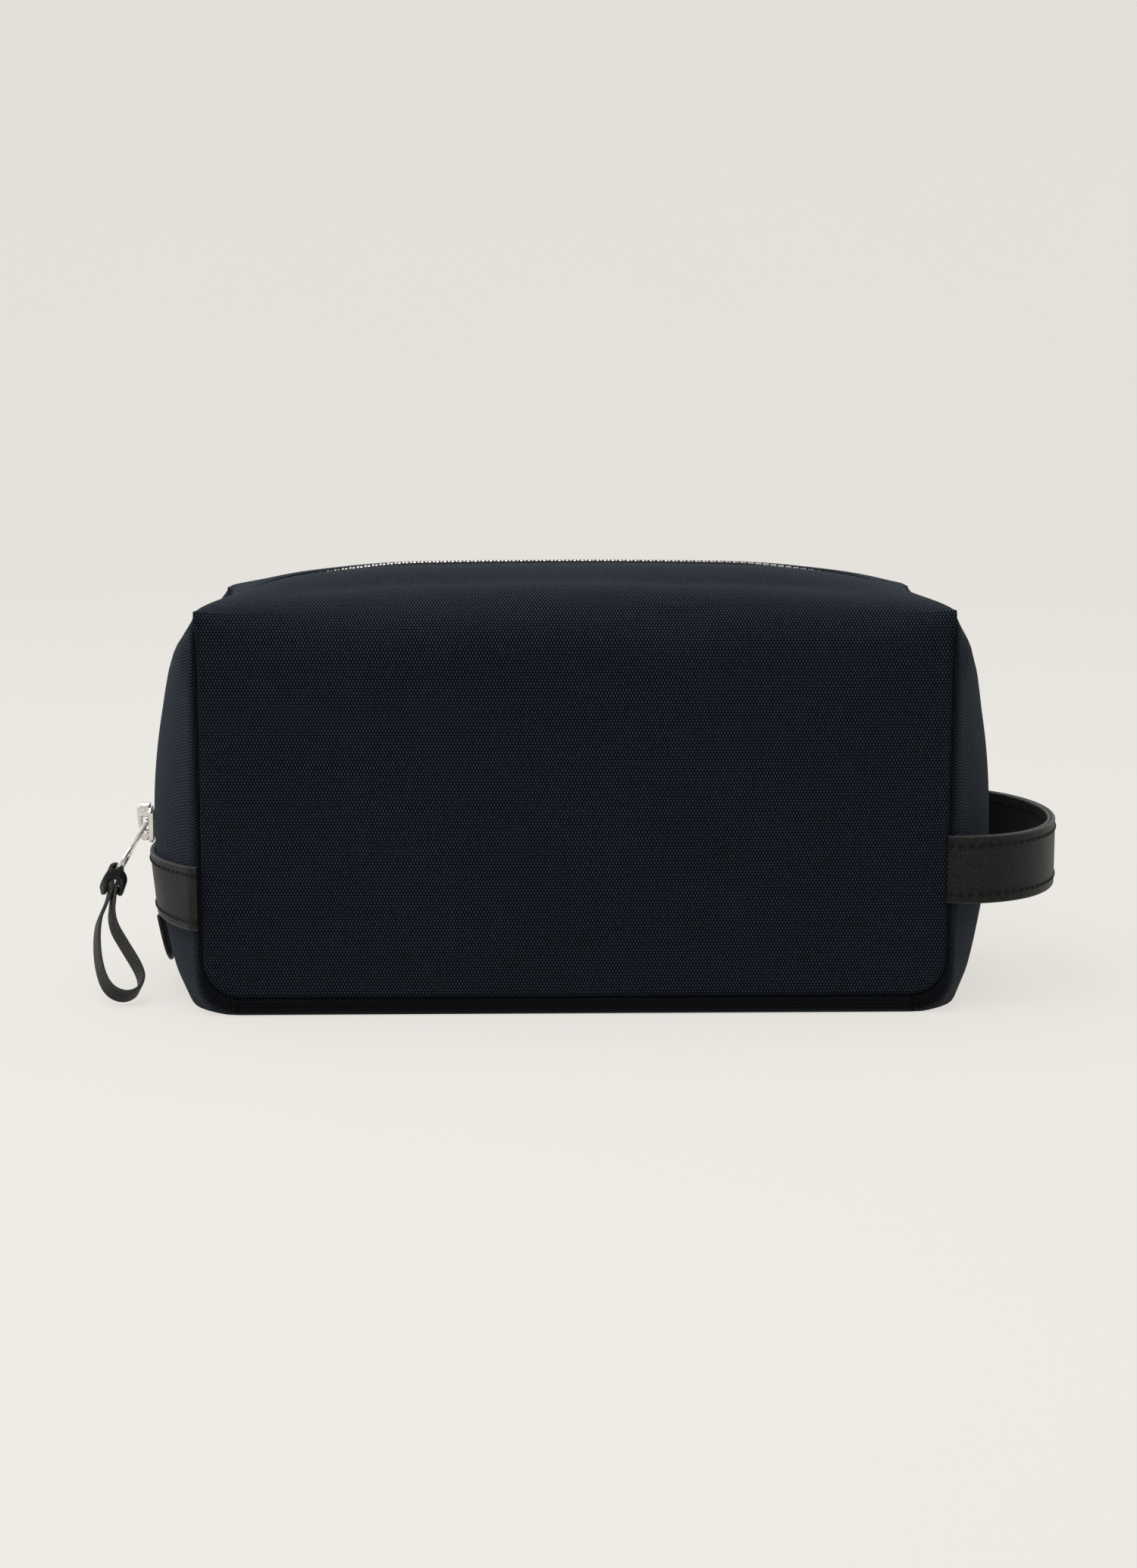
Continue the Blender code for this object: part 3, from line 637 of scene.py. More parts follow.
def top_z(x, y):
    """Height of the top cloth at x and a distance y from the centre plane."""
    height, radius = shoulder(x)
    inner = wall_y(x, LIP_Z) - radius
    on_roll = np.sqrt(np.maximum(radius ** 2 - np.maximum(y - inner, 0) ** 2, 0))
    share = np.clip((inner - y) / (inner - TOP_EDGE_Y), 0, 1)
    return np.where(y > inner, height - radius + on_roll,
                    height + (zip_top(x) - height) * np.sin(share * math.pi / 2))


def groove_fade(z):
    """The groove along the upright seams runs out below the ears."""
    return 1 - ease((z - 128) / 13.5)


def groove_depth(distance):
    """How far the cloth has turned in at this distance from a seam."""
    t = np.clip(1 - distance / GROOVE_WIDTH, 0, 1)
    return GROOVE * (1 - np.sqrt(1 - t ** 2))


# Columns of the gusset: the turned-in edge, then distances from the centre plane
TURN_STEPS = 5
GUSSET_Y = np.concatenate([[55.2, 53.8, 51.8], np.linspace(49, ZIP_GAP, 12)])
SEAM_LINE_X = SEAM_X + 0.15
START_OUT = END_TURN * (1 + math.cos(math.radians(END_TURN_STOP)))
# Painted shade for the first columns of a turned-in edge, from the seam inwards.
PAINTED_EDGE_SHADES = (0.04, 0.12, 0.35, 0.7)


def gusset_row(seam, outward, middle, power, inner=GUSSET_Y, groove=1.0, turn=END_TURN,
               last=END_TURN_STOP):
    """One row across half of the gusset, from its seam inwards, as (x, y, z) with y positive.
    seam and middle are (x, z) on the seam and on the centre plane, outward the strip's outer side.
    The turned edge is an arc of radius turn from the seam to the angle last."""
    seam = np.asarray(seam, float)
    outward = np.asarray(outward, float)
    rows = []
    for angle in np.radians(np.linspace(180, last, TURN_STEPS)):
        place = seam + outward * turn * (1 + math.cos(angle))
        y = SEAM_Y - GROOVE + turn * math.sin(angle)
        flat_y = FLAT_EDGE_Y - 0.2 * len(rows)
        rows.append((*lerp(seam + outward * 0.9, place, groove), lerp(flat_y, y, groove)))
    start = seam + outward * turn * (1 + math.cos(math.radians(last)))
    for y in inner:
        bulge = 1 - (y / SEAM_Y) ** power
        rows.append((*(start + (np.asarray(middle) - start) * bulge), y))
    return np.array([(x, y, z) for x, z, y in rows])


def upper_row(fraction):
    """A row of the upper half of an end, from the split to the ear; its height grows less near the seam."""
    z_seam = SPLIT_Z + (EAR_Z - 0.9 - SPLIT_Z) * fraction
    z_inner = SPLIT_Z + (EAR_Z - SPLIT_Z) * fraction
    groove = groove_fade(z_seam)
    row = gusset_row((SEAM_LINE_X, z_seam), (1, 0), (float(centre_x(z_inner)), z_inner),
                     float(end_power(z_inner)), groove=float(groove))
    row[:, 2] = lerp(z_inner, z_seam, ease((row[:, 1] - 48) / 8))
    ear = ease((fraction - 0.93) / 0.07)
    row[:, 0] = lerp(row[:, 0], EAR_X - 0.12 * (FLAT_EDGE_Y - row[:, 1]), ease((row[:, 1] - 50) / 6) * ear)
    full = ease((fraction - 0.72) / 0.14) * (1 - ear)
    row[:, 0] += 1.7 * full * ease((row[:, 1] - 36) / 10) * (1 - ease((row[:, 1] - 51.5) / 3.5))
    return row


def shell_front_wall(columns, offsets):
    """Rows of the front wall from its bottom seam to the lip line, with round lower corners."""
    side = SEAM_X - np.abs(columns)[None, :] + 0 * offsets[:, None]
    low = offsets[:, None] + 0 * columns[None, :]
    nearest = np.minimum(side, low)
    along = (CORNER - np.maximum(side, low)) / np.maximum(CORNER - nearest, 1e-6)
    turn = np.where(side <= low, along * math.pi / 4, math.pi / 2 - along * math.pi / 4)
    corner = (side < CORNER) & (low < CORNER)
    reach = CORNER - nearest
    new_side = np.where(corner, CORNER - reach * np.cos(turn), side)
    new_low = np.where(corner, CORNER - reach * np.sin(turn), low)
    x = np.sign(columns)[None, :] * (SEAM_X - new_side)
    z = SEAM_Z + new_low
    y = wall_y(x, z) - groove_depth(nearest)
    return np.stack([x, y, z], axis=-1)


def shell_shoulder(columns):
    """Rows from the lip line up to half-way round the shoulder."""
    height, radius = shoulder(columns)
    wall = wall_y(columns, LIP_Z)
    side = SEAM_X - np.abs(columns)
    rows = []
    straight = height - radius
    for f in np.linspace(0, 1, 7)[1:]:
        rows.append((wall, lerp(LIP_Z, straight, f)))
    for angle in np.radians(np.linspace(0, 45, 6)[1:]):
        rows.append((wall - radius * (1 - math.cos(angle)), straight + radius * math.sin(angle)))
    built = []
    for y, z in rows:
        fade = groove_fade(z)
        flare = 1 + (EAR_X / SEAM_X - 1) * ease((z - 124) / 17)
        built.append(np.stack([columns * flare, y - groove_depth(side) * fade, z], axis=-1))
    return np.array(built)


def shell_top(columns, edge_row):
    """Rows over the top, from half-way round the shoulder to the zip; edge_row is where the end cloth meets it."""
    share = columns / SEAM_X
    _, radius = shoulder(columns)
    start = wall_y(columns, LIP_Z) - radius * (1 - math.cos(math.pi / 4))
    first = edge_row[0]
    built = []
    for x_end, y_end, z_end in edge_row[1:]:
        q = (y_end - ZIP_GAP) / (first[1] - ZIP_GAP)
        y = ZIP_GAP + (start - ZIP_GAP) * q
        x = share * x_end
        z = top_z(x, y)
        miss = z_end - float(top_z(x_end, y_end))
        z = z + miss * ease((np.abs(share) - 0.82) / 0.18)
        built.append(np.stack([x, y, z], axis=-1))
    return np.array(built)


def waves(points):
    """Outward shift of the cloth in millimetres as slow and smaller waves."""
    shift = np.zeros(len(points))
    for k, (x, y, z) in enumerate(points):
        broad = noise.noise(Vector((x / 62 + WAVE_SEED, y / 62, z / 48)))
        small = noise.noise(Vector((x / 21 + WAVE_SEED, y / 21 + 7, z / 21)))
        shift[k] = 0.8 * broad + 0.18 * small
    return shift


HOLLOWS = (  # (x, z, depth, half width, half height) on the front, in the upper wall and the shoulder
    (32, 140, 2.4, 17, 11),
    (62, 132, 1.2, 26, 16),
    (-34, 146, 1.2, 30, 7),
    (-96, 134, 1.0, 20, 12),
)


def relax(points, neighbours, free, rounds, pull=0.5):
    """Evens out the free points between their neighbours, as taut cloth does."""
    starts, ends = neighbours[:, 0], neighbours[:, 1]
    degree = np.bincount(starts, minlength=len(points)).astype(float)[:, None]
    for _ in range(rounds):
        total = np.zeros_like(points)
        np.add.at(total, starts, points[ends])
        points = points + free[:, None] * pull * (total / degree - points)
    return points


def edge_pairs(faces):
    pairs = np.concatenate([faces[:, [a, b]] for a, b in ((0, 1), (1, 2), (2, 3), (3, 0))])
    pairs = np.unique(np.sort(pairs, axis=1), axis=0)
    return np.concatenate([pairs, pairs[:, ::-1]])


def vertex_normals(points, faces):
    corners = points[faces]
    normal = np.cross(corners[:, 2] - corners[:, 0], corners[:, 3] - corners[:, 1])
    total = np.zeros_like(points)
    for k in range(4):
        np.add.at(total, faces[:, k], normal)
    length = np.linalg.norm(total, axis=1)[:, None]
    return total / np.maximum(length, 1e-12)


def outward_normals(points, faces):
    """Normals of the points, turned away from the inside of the bag."""
    normals = vertex_normals(points, faces)
    return normals * np.sign((normals * (points - INSIDE)).sum(axis=1))[:, None]


class Shell:
    """One half of the cloth body above the gusset strip, worked out for the front with y counted outwards."""

    def __init__(self):
        half = SEAM_X - graded(SEAM_X, CLOTH_STEP)
        columns = np.concatenate([-half, half[-2::-1]])
        offsets = graded(LIP_Z - SEAM_Z, CLOTH_STEP)
        fractions = np.linspace(0, 1, 30) ** 0.9
        end_rows = np.array([upper_row(f) for f in fractions])
        wall = shell_front_wall(columns, offsets)
        rise = shell_shoulder(columns)
        end_rows[-1, 0] = rise[-1, -1]
        top = shell_top(columns, end_rows[-1])
        main = np.concatenate([wall, rise, top])
        self.columns = main.shape[1]
        self.fold_row = len(wall) + len(rise) - 1
        main_index = numbered(main)
        self.points = [main.reshape(-1, 3)]
        self.index = {"main": main_index}
        count = main_index.size
        for name, side in SIDES.items():
            rows = end_rows[:-1] * (side, 1, 1)
            size = rows.shape[0] * rows.shape[1]
            below = np.arange(count, count + size).reshape(rows.shape[:2])
            edge = main_index[self.fold_row:, 0 if side < 0 else -1]
            self.index[name] = np.vstack([below, edge])
            self.points.append(rows.reshape(-1, 3))
            count += size
        self.points = np.concatenate(self.points)
        self.faces = np.concatenate([grid_faces(self.index["main"]),
                                     grid_faces(self.index["left"]),
                                     grid_faces(self.index["right"], flip=True)])
        self.smooth_top_corners()
        self.add_dimples()

    def zip_edge(self):
        """Point numbers along the free edge at the zip, from the left end over the top to the right end."""
        left = self.index["left"][:, -1]
        right = self.index["right"][:, -1]
        top = self.index["main"][-1]
        return np.concatenate([left[:-1], top, right[-2::-1]])

    def smooth_top_corners(self):
        """Fairs the cloth between an ear and the zip, and puffs it up a little."""
        free = np.zeros(len(self.points))
        x, y, z = self.points.T
        main = self.index["main"]
        top = main[self.fold_row + 5:-1].ravel()
        free[top] = ease((np.abs(x[top]) - 88) / 25)
        for name in SIDES:
            inner = self.index[name][:-1, 7:-1].ravel()
            free[inner] = ease((z[inner] - 124) / 14)
        self.points = relax(self.points, edge_pairs(self.faces), free, 10)
        x, y, z = self.points.T
        puff = PILLOW * np.sin(math.pi * np.clip((y - ZIP_GAP) / (FLAT_EDGE_Y - ZIP_GAP), 0, 1)) ** 0.8
        self.points[:, 2] += puff * ease((np.abs(x) - 84) / 34) * ease((z - 131) / 11)

    def add_dimples(self):
        """Slow waves everywhere but at the seams and the zip, and the soft hollows below the zip."""
        x, y, z = self.points.T
        room = np.minimum(np.abs(np.abs(x) - SEAM_X) / 14, 1) * np.minimum(np.maximum(y - 8, 0) / 14, 1)
        room *= np.minimum(np.maximum(z - SEAM_Z, 0) / 14, 1)
        ends = np.abs(x) > SEAM_X
        room[ends] *= 0.3
        shift = waves(self.points) * room
        for place_x, place_z, depth, wide, high in HOLLOWS:
            bell = np.exp(-((x - place_x) / wide) ** 2 - ((z - place_z) / high) ** 2)
            shift -= depth * bell * room
        self.points = self.points + outward_normals(self.points, self.faces) * shift[:, None]

    def painted_shade_factor(self):
        """Painted shade of each point: 1 where none is painted; the turned-in edges along the seams are painted dark,
        fading out between 130 and 139 mm up.
        """
        x, _, z = self.points.T
        value = np.ones(len(self.points))
        fade = ease((z - 130) / 9)
        main = self.index["main"][:self.fold_row]
        side = SEAM_X - np.abs(x[main])
        low = z[main] - SEAM_Z
        corner = np.hypot(np.maximum(CORNER - side, 0), np.maximum(CORNER - low, 0))
        nearest = np.where((side < CORNER) & (low < CORNER), CORNER - corner, np.minimum(side, low))
        value[main] = 0.06 + 0.94 * ease((nearest - 0.15) / 1.5)
        for name in SIDES:
            rows = self.index[name][:-1]
            for column, shade in enumerate(PAINTED_EDGE_SHADES):
                value[rows[:, column]] = shade
        return np.maximum(value, fade)

    def lengths(self):
        """Each point's own place on the cloth, as (u, v) along the weave in millimetres."""
        uv = np.zeros((len(self.points), 2))
        main = self.index["main"]
        grid = self.points[main]
        steps = np.linalg.norm(np.diff(grid, axis=0), axis=2)
        run = np.vstack([np.zeros(self.columns), np.cumsum(steps, axis=0)])
        base = np.argmin(np.abs(grid[:, self.columns // 2, 2] - 60))
        uv[main, 0] = grid[:, :, 0]
        uv[main, 1] = run - run[base] + grid[base, :, 2]
        for name, side in SIDES.items():
            index = self.index[name]
            end = self.points[index]
            across = np.linalg.norm(np.diff(end, axis=1), axis=2)
            up = np.linalg.norm(np.diff(end, axis=0), axis=2)
            rise = np.vstack([np.zeros(end.shape[1]), np.cumsum(up, axis=0)])
            inner = np.cumsum(across[:, ::-1], axis=1)[:, ::-1]
            inner = np.hstack([inner, np.zeros((len(end), 1))])
            rows = index[:-1]
            uv[rows, 0] = (side * (300 + (rise - rise[-1])))[:-1]
            uv[rows, 1] = 250 - inner[:-1]
        return uv


def fold_strip(edge, normals, steps):
    """Rows that carry a free edge round and under: steps are (towards the zip, along the normal)."""
    rows = [edge]
    for inward, lift in steps:
        rows.append(edge + np.array([0, -inward, 0]) + normals * lift)
    return np.array(rows)


HEM = ((0.25, -0.12), (0.45, -0.40), (0.45, -0.75), (0.2, -1.0), (-1.0, -1.1), (-6.0, -1.2))


def build_shells():
    shell = Shell()
    edge_index = shell.zip_edge()
    edge = shell.points[edge_index]
    normals = zip_frames(edge)
    hem = fold_strip(edge, normals, HEM)
    count = len(shell.points)
    hem_index = np.vstack([edge_index, np.arange(count, count + hem[1:].size // 3).reshape(len(hem) - 1, -1)])
    points = np.concatenate([shell.points, hem[1:].reshape(-1, 3)])
    faces = np.concatenate([shell.faces, grid_faces(hem_index)])
    uv = shell.lengths()
    hem_uv = [uv[edge_index] + (0, sum(math.hypot(*s) for s in HEM[:k + 1])) for k in range(len(HEM))]
    uv = np.concatenate([uv, *hem_uv])
    for face_name, face in FACES.items():
        placed = points * (1, face, 1)
        turned = faces if face < 0 else faces[:, ::-1]
        obj = make_piece(face_name + "_cloth", placed, turned, ["canvas"], uv)
        # The hem turned under the zip's edge is painted at 0.3, a painted shade.
        shade_points(obj, np.concatenate([shell.painted_shade_factor(), np.full(len(points) - count, 0.3)]))
        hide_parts(face_name + "_panel", face_name + "_top_panel")
        for side_name in SIDES:
            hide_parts(f"{side_name}_{face_name}_ear", f"{side_name}_end_{face_name}_half")
        mouth_blend(obj)
    return shell


def strip_rows():
    """Rows of the gusset strip for the right half, from the split down the end and along the base."""
    rows = []
    full = np.concatenate([GUSSET_Y[:-1], [ZIP_GAP, 2.2, 0.0]])
    corner_x = SEAM_LINE_X - CORNER
    corner_z = SEAM_Z + CORNER
    for z in np.linspace(SPLIT_Z, corner_z, 8):
        rows.append(gusset_row((SEAM_LINE_X, z), (1, 0), (float(end_x(z)), z), float(end_power(z)), full))
    for angle in np.radians(np.linspace(0, 90, 15)[1:]):
        c, s = max(math.cos(angle), 0.0), math.sin(angle)
        seam = (corner_x + CORNER * c, corner_z - CORNER * s)
        z = corner_z * (1 - s ** 0.8)
        middle = (BASE_HALF + (float(end_x(z)) - BASE_HALF) * (1 - s ** 5), z)
        turning = float(ease(s))
        rows.append(gusset_row(seam, (c, -s), middle, CORNER_POWER + BASE_SQUARENESS * s ** 8, full,
                               turn=lerp(END_TURN, BASE_TURN, turning),
                               last=lerp(END_TURN_STOP, BASE_TURN_STOP, turning)))
    for share in np.linspace(0, 1, 30)[1:]:
        x = corner_x * (1 - share)
        rows.append(gusset_row((x, SEAM_Z), (0, -1), (BASE_HALF * (1 - share), 0.0),
                               CORNER_POWER + BASE_SQUARENESS, full, turn=BASE_TURN, last=BASE_TURN_STOP))
    return np.array(rows)


def build_gusset():
    """The cloth strip under the base and up both ends to the split."""
    right = strip_rows()
    across = np.concatenate([right * (1, -1, 1), right[:, -2::-1]], axis=1)
    whole = np.concatenate([across * (-1, 1, 1), across[-2::-1]])
    index = numbered(whole)
    middle = whole.shape[1] // 2
    run = running_length(whole[:, middle])
    steps = np.linalg.norm(np.diff(whole, axis=1), axis=2)
    side = np.hstack([np.zeros((len(whole), 1)), np.cumsum(steps, axis=1)])
    side = (side / side[:, [middle]] - 1) * 61
    uv = np.stack([run[:, None] + 0 * side, side], axis=-1)
    obj = make_piece("gusset_cloth", whole.reshape(-1, 3), grid_faces(index), ["canvas"],
                     uv.reshape(-1, 2))
    # Painted shade: dark in the turned-in edges along the seams, and darker towards the floor at the foot of the
    # strip.
    painted_shades = np.ones(whole.shape[:2])
    for column, value in enumerate(PAINTED_EDGE_SHADES):
        painted_shades[:, column] = painted_shades[:, -1 - column] = value
    painted_shades *= 0.28 + 0.72 * ease((whole[:, :, 2] - 3) / 9)
    shade_points(obj, painted_shades.ravel())
    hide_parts("base_panel", "left_end_panel", "right_end_panel")
    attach(obj, "bag_body")


def end_place(side, y, z, lift=0.0):
    """A point on one end of the bag, lifted off it along its normal."""
    def surface(yy, zz):
        start = SEAM_LINE_X + START_OUT
        bulge = 1 - (min(abs(yy), SEAM_Y) / SEAM_Y) ** float(end_power(zz))
        return np.array([side * (start + (float(centre_x(zz)) - start) * bulge), yy, zz])
    here = surface(y, z)
    across = surface(y + 0.2, z) - surface(y - 0.2, z)
    up = surface(y, z + 0.2) - surface(y, z - 0.2)
    return here + unit(np.cross(across, up)) * side * lift


# ---------------------------------------------------------------- zip

def sink(line):
    """How deep the zip lies below its line: level on the crown, deeper towards the ears and down the ends."""
    return 0.3 + 1.3 * ease((np.abs(line[:, 0]) - 55) / 45)


def build_zip(face_name, face):
    """One half of the zip: its tape and its row of teeth."""
    line = zip_line(ZIP_START_Z - 3, ZIP_START_Z - 1)
    normals = zip_frames(line)
    profile = ((0.9, -0.55), (0.9, 0.0), (1.2, 0.25), (1.6, 0.1), (2.5, 0.15), (2.75, 1.0), (3.2, 1.35),
               (3.65, 1.0), (3.9, 0.15), (12.0, -0.1), (12.0, -0.6))
    rows = np.array([line + (0, face * y, 0) + normals * (lift - 0.6 - sink(line)[:, None]) for y, lift in profile])
    index = numbered(rows)
    run = running_length(line)
    uv = np.stack(np.broadcast_arrays(run[None, :], np.array([y for y, _ in profile])[:, None]), axis=-1)
    tape = make_piece(face_name + "_tape", rows.reshape(-1, 3), grid_faces(index, face > 0), ["zip_tape"],
                      uv.reshape(-1, 2))
    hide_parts(face_name + "_zip_tape", f"left_{face_name}_tape", f"right_{face_name}_tape")
    mouth_blend(tape)

    half = 0.5 if face > 0 else 0.0
    path = zip_line(ZIP_START_Z, ZIP_START_Z + 2.5)
    places = resample(path, TOOTH_PITCH, half * TOOTH_PITCH, (0.5 - half) * TOOTH_PITCH)
    ups = zip_frames(places)
    frames = []
    for place, up, depth in zip(places, ups, sink(places)):
        along = unit(np.cross((0, face, 0), up))
        frames.append((place - up * depth, along, (0, face, 0), up))
    teeth = instances(face_name + "_teeth", tooth(), frames, ["zip_metal"])
    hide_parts(face_name + "_zip_teeth", f"left_{face_name}_teeth", f"right_{face_name}_teeth")
    mouth_blend(teeth)


def tooth():
    """One zip tooth: legs gripping the tape and a narrower head, with chamfered faces."""
    outline = [(-0.46, 3.0), (0.46, 3.0), (0.52, 1.4), (0.4, 0.75), (0.5, 0.1), (0.3, -0.45),
               (-0.3, -0.45), (-0.5, 0.1), (-0.4, 0.75), (-0.52, 1.4)]
    levels = ((-1.15, 0.72), (-0.85, 1.0), (0.85, 1.0), (1.15, 0.72))
    points = []
    for height, share in levels:
        points += [(x * share, 1.3 + (y - 1.3) * (0.5 + share / 2), height) for x, y in outline]
    count = len(outline)
    faces = [tuple(range(count)), tuple(range(3 * count, 4 * count))[::-1]]
    for k in range(3):
        for i in range(count):
            n = (i + 1) % count
            faces.append((k * count + i, (k + 1) * count + i, (k + 1) * count + n, k * count + n))
    return points, faces


# ---------------------------------------------------------------- leather on the ends

def end_wrap(side, z, steps=46):
    """The outline of one end at a height, from seam to seam and down into both, with its outward normals."""
    half = [(SEAM_LINE_X + 0.1, SEAM_Y - 2.4), (SEAM_LINE_X + 0.35, SEAM_Y - 1.1), (SEAM_LINE_X + 1.2, SEAM_Y - 0.45)]
    ys = (SEAM_Y - 1.2) * np.cos(np.linspace(0, math.pi / 2, steps // 2))
    half += [(abs(end_place(1, y, z)[0]), y) for y in ys]
    plan = np.array(half)
    plan = np.vstack([plan * (1, -1), plan[-2::-1]])
    line = np.stack([side * plan[:, 0], plan[:, 1], np.full(len(plan), z)], axis=1)
    _, normals = path_frames(line, line - (side * 60, 0, z))
    return line, normals


def build_band():
    """The leather band over the left end, with stitching along both edges."""
    width = BAND_TOP - BAND_BOTTOM
    rows = [end_wrap(-1, z) for z in np.linspace(BAND_BOTTOM - BAND_DIP, BAND_TOP, 30)]
    heights = np.array([line[0, 2] for line, _ in rows])

    def place(k, across, out):
        y = rows[0][0][k, 1]
        z = (BAND_TOP + BAND_BOTTOM) / 2 - BAND_DIP * (1 - (min(abs(y), SEAM_Y) / SEAM_Y) ** 2) * BAND_SAG + across
        at = np.interp(z, heights, np.arange(len(heights)))
        low = min(int(at), len(rows) - 2)
        line = lerp(rows[low][0][k], rows[low + 1][0][k], at - low)
        normal = lerp(rows[low][1][k], rows[low + 1][1][k], at - low)
        return np.array([line[0], line[1], z]) + normal * (0.25 + LEATHER / 2 + out)

    count = len(rows[0][0])
    section, sides = rounded_section(width, LEATHER, 0.55)
    band = sweep("end_band", place, range(count), section, ["leather", "edge"], edge_faces=sides)
    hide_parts("left_end_band")
    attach(band, "bag_body")
    for name, across in (("upper", width / 2 - BAND_STITCH_IN), ("lower", BAND_STITCH_IN - width / 2)):
        line = np.array([place(k, across, LEATHER / 2) for k in range(2, count - 2)])
        above = np.array([place(k, across, LEATHER / 2 + 1) for k in range(2, count - 2)])
        row = stitch_row(f"end_band_{name}_stitches", line, above - line)
        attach(row, "bag_body")


def build_tab(side_name, side, top, length):
    """A doubled leather tab over the zip's end, with a round foot."""
    for layer, (lift, half, extra) in enumerate(((0.4, 8.4, -0.6), (1.7, 9.0, 0.0))):
        def place(s, across, out):
            z = top - (length + extra) * s
            round_part = max(0.0, (s - 0.5) / 0.5)
            share = math.sqrt(max(0.0, 1 - round_part ** 2.4))
            return end_place(side, across * half * max(share, 0.06), z, lift + 0.6 + out * max(share, 0.25) ** 0.5)

        section, sides = rounded_section(2.0, 1.2, 0.07)
        stations = np.concatenate([np.linspace(0, 0.8, 9), 1 - 0.2 * (1 - np.linspace(0, 1, 9)[1:]) ** 2])
        tab = sweep(f"{side_name}_tab_layer_{layer + 1}", place, stations, section, ["leather", "edge"],
                    edge_faces=sides)
        if layer:
            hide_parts(side_name + "_zip_tab")
        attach(tab, "bag_body")


# ---------------------------------------------------------------- carry handle

def handle_line(t):
    """Plan of the handle's middle surface, from the front seam at 0 to the rear seam at 1."""
    reach = HANDLE_REACH - HANDLE_LAYER - HANDLE_GAP / 2
    x = HANDLE_ROOT_X + (reach - HANDLE_ROOT_X) * math.sin(math.pi * t) ** HANDLE_SQUARENESS
    tuck = 2.0 * math.exp(-(x - HANDLE_ROOT_X) / 4.0)
    return np.array([x, -(HANDLE_SPREAD - tuck) * math.cos(math.pi * t), HANDLE_Z])


def handle_path():
    line = [handle_line(t) for t in np.linspace(0.0, 1.0, 181)]
    line = resample(line, 2.2)
    _, normals = path_frames(line, line - (70, 0, HANDLE_Z))
    return line, normals


def handle_blend(obj):
    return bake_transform(obj)


def build_handle():
    """Two leather layers sewn together along both edges."""
    line, normals = handle_path()

    def placer(offset):
        return lambda k, across, out: line[k] + normals[k] * (offset + out) + np.array([0, 0, across])

    section, sides = rounded_section(2 * HANDLE_HALF, HANDLE_LAYER, 0.5)
    middle = HANDLE_LAYER / 2 + HANDLE_MIDDLE
    for name, offset, face_material in (("outer", middle, "leather"), ("inner", -middle, "flesh")):
        layer = sweep(f"handle_{name}_layer", placer(offset), range(len(line)), section, [face_material, "edge"],
                      edge_faces=sides)
        if name == "outer":
            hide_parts("handle_outer_strap")
        else:
            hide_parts("handle_inner_strap", "handle_anchor_front", "handle_anchor_rear")
        handle_blend(layer)
        out = math.copysign(HANDLE_LAYER + HANDLE_MIDDLE, offset)
        inset = HANDLE_HALF - HANDLE_STITCH_IN
        for edge_name, across in (("upper", inset), ("lower", -inset)):
            row_line = np.array([placer(0)(k, across, out) for k in range(len(line))])
            row = stitch_row(f"handle_{name}_{edge_name}_stitches", row_line, normals * math.copysign(1, offset))
            handle_blend(row)


# ---------------------------------------------------------------- slider and pull

def axes_matrix(x_axis, y_axis, place):
    """A frame in metres from two unit axes and a place in millimetres."""
    z_axis = np.cross(x_axis, y_axis)
    matrix = Matrix(np.array([x_axis, y_axis, z_axis]).T.tolist()).to_4x4()
    matrix.translation = Vector(place) * MM
    return matrix


def plate(name, outline, low, high, matrix, bevel, material="nickel", holes=()):
    """A flat piece from an outline in its frame's XY plane, with bevelled edges."""
    curve = bpy.data.curves.new(name + "_outline", "CURVE")
    curve.dimensions = "2D"
    curve.fill_mode = "BOTH"
    curve.extrude = (high - low) / 2 * MM - bevel * MM
    curve.bevel_depth = bevel * MM
    curve.bevel_resolution = 2
    curve.offset = -bevel * MM
    for ring in (outline, *holes):
        spline = curve.splines.new("POLY")
        spline.points.add(len(ring) - 1)
        for target, (x, y) in zip(spline.points, ring):
            target.co = (x * MM, y * MM, 0, 1)
        spline.use_cyclic_u = True
    holder = bpy.data.objects.new(name + "_outline", curve)
    bpy.context.scene.collection.objects.link(holder)
    bpy.context.view_layer.update()
    mesh = bpy.data.meshes.new_from_object(holder.evaluated_get(bpy.context.evaluated_depsgraph_get()))
    bpy.data.objects.remove(holder)
    bm = bmesh.new()
    bm.from_mesh(mesh)
    bmesh.ops.remove_doubles(bm, verts=bm.verts, dist=1e-6)
    bmesh.ops.recalc_face_normals(bm, faces=bm.faces)
    bm.to_mesh(mesh)
    bm.free()
    mesh.transform(matrix @ Matrix.Translation((0, 0, (low + high) / 2 * MM)))
    mesh.materials.clear()
    mesh.materials.append(MATERIALS[material])
    mesh.shade_smooth()
    mesh.set_sharp_from_angle(angle=math.radians(40))
    obj = bpy.data.objects.new(name, mesh)
    bpy.context.scene.collection.objects.link(obj)
    return obj


def arc(centre, radius, start, end, steps):
    angles = np.radians(np.linspace(start, end, steps + 1))
    return [(centre[0] + radius * math.cos(a), centre[1] + radius * math.sin(a)) for a in angles]


def mirrored(half):
    """A closed outline from its half at positive x, which starts and ends at x 0."""
    return half + [(-x, y) for x, y in half[-2:0:-1]]


def long_hole(x, low, high, radius):
    """A hole with round ends, from the lower centre to the upper one."""
    return arc((x, low), radius, 180, 360, 8) + arc((x, high), radius, 0, 180, 8)


def merge(name, parts):
    """Joins pieces of one material into one object."""
    bpy.context.view_layer.update()
    bm = bmesh.new()
    for part in parts:
        bm.from_mesh(part.data)
    mesh = parts[0].data
    bm.to_mesh(mesh)
    bm.free()
    mesh.set_sharp_from_angle(angle=math.radians(40))
    for part in parts[1:]:
        bpy.data.objects.remove(part)
    parts[0].name = name
    return parts[0]


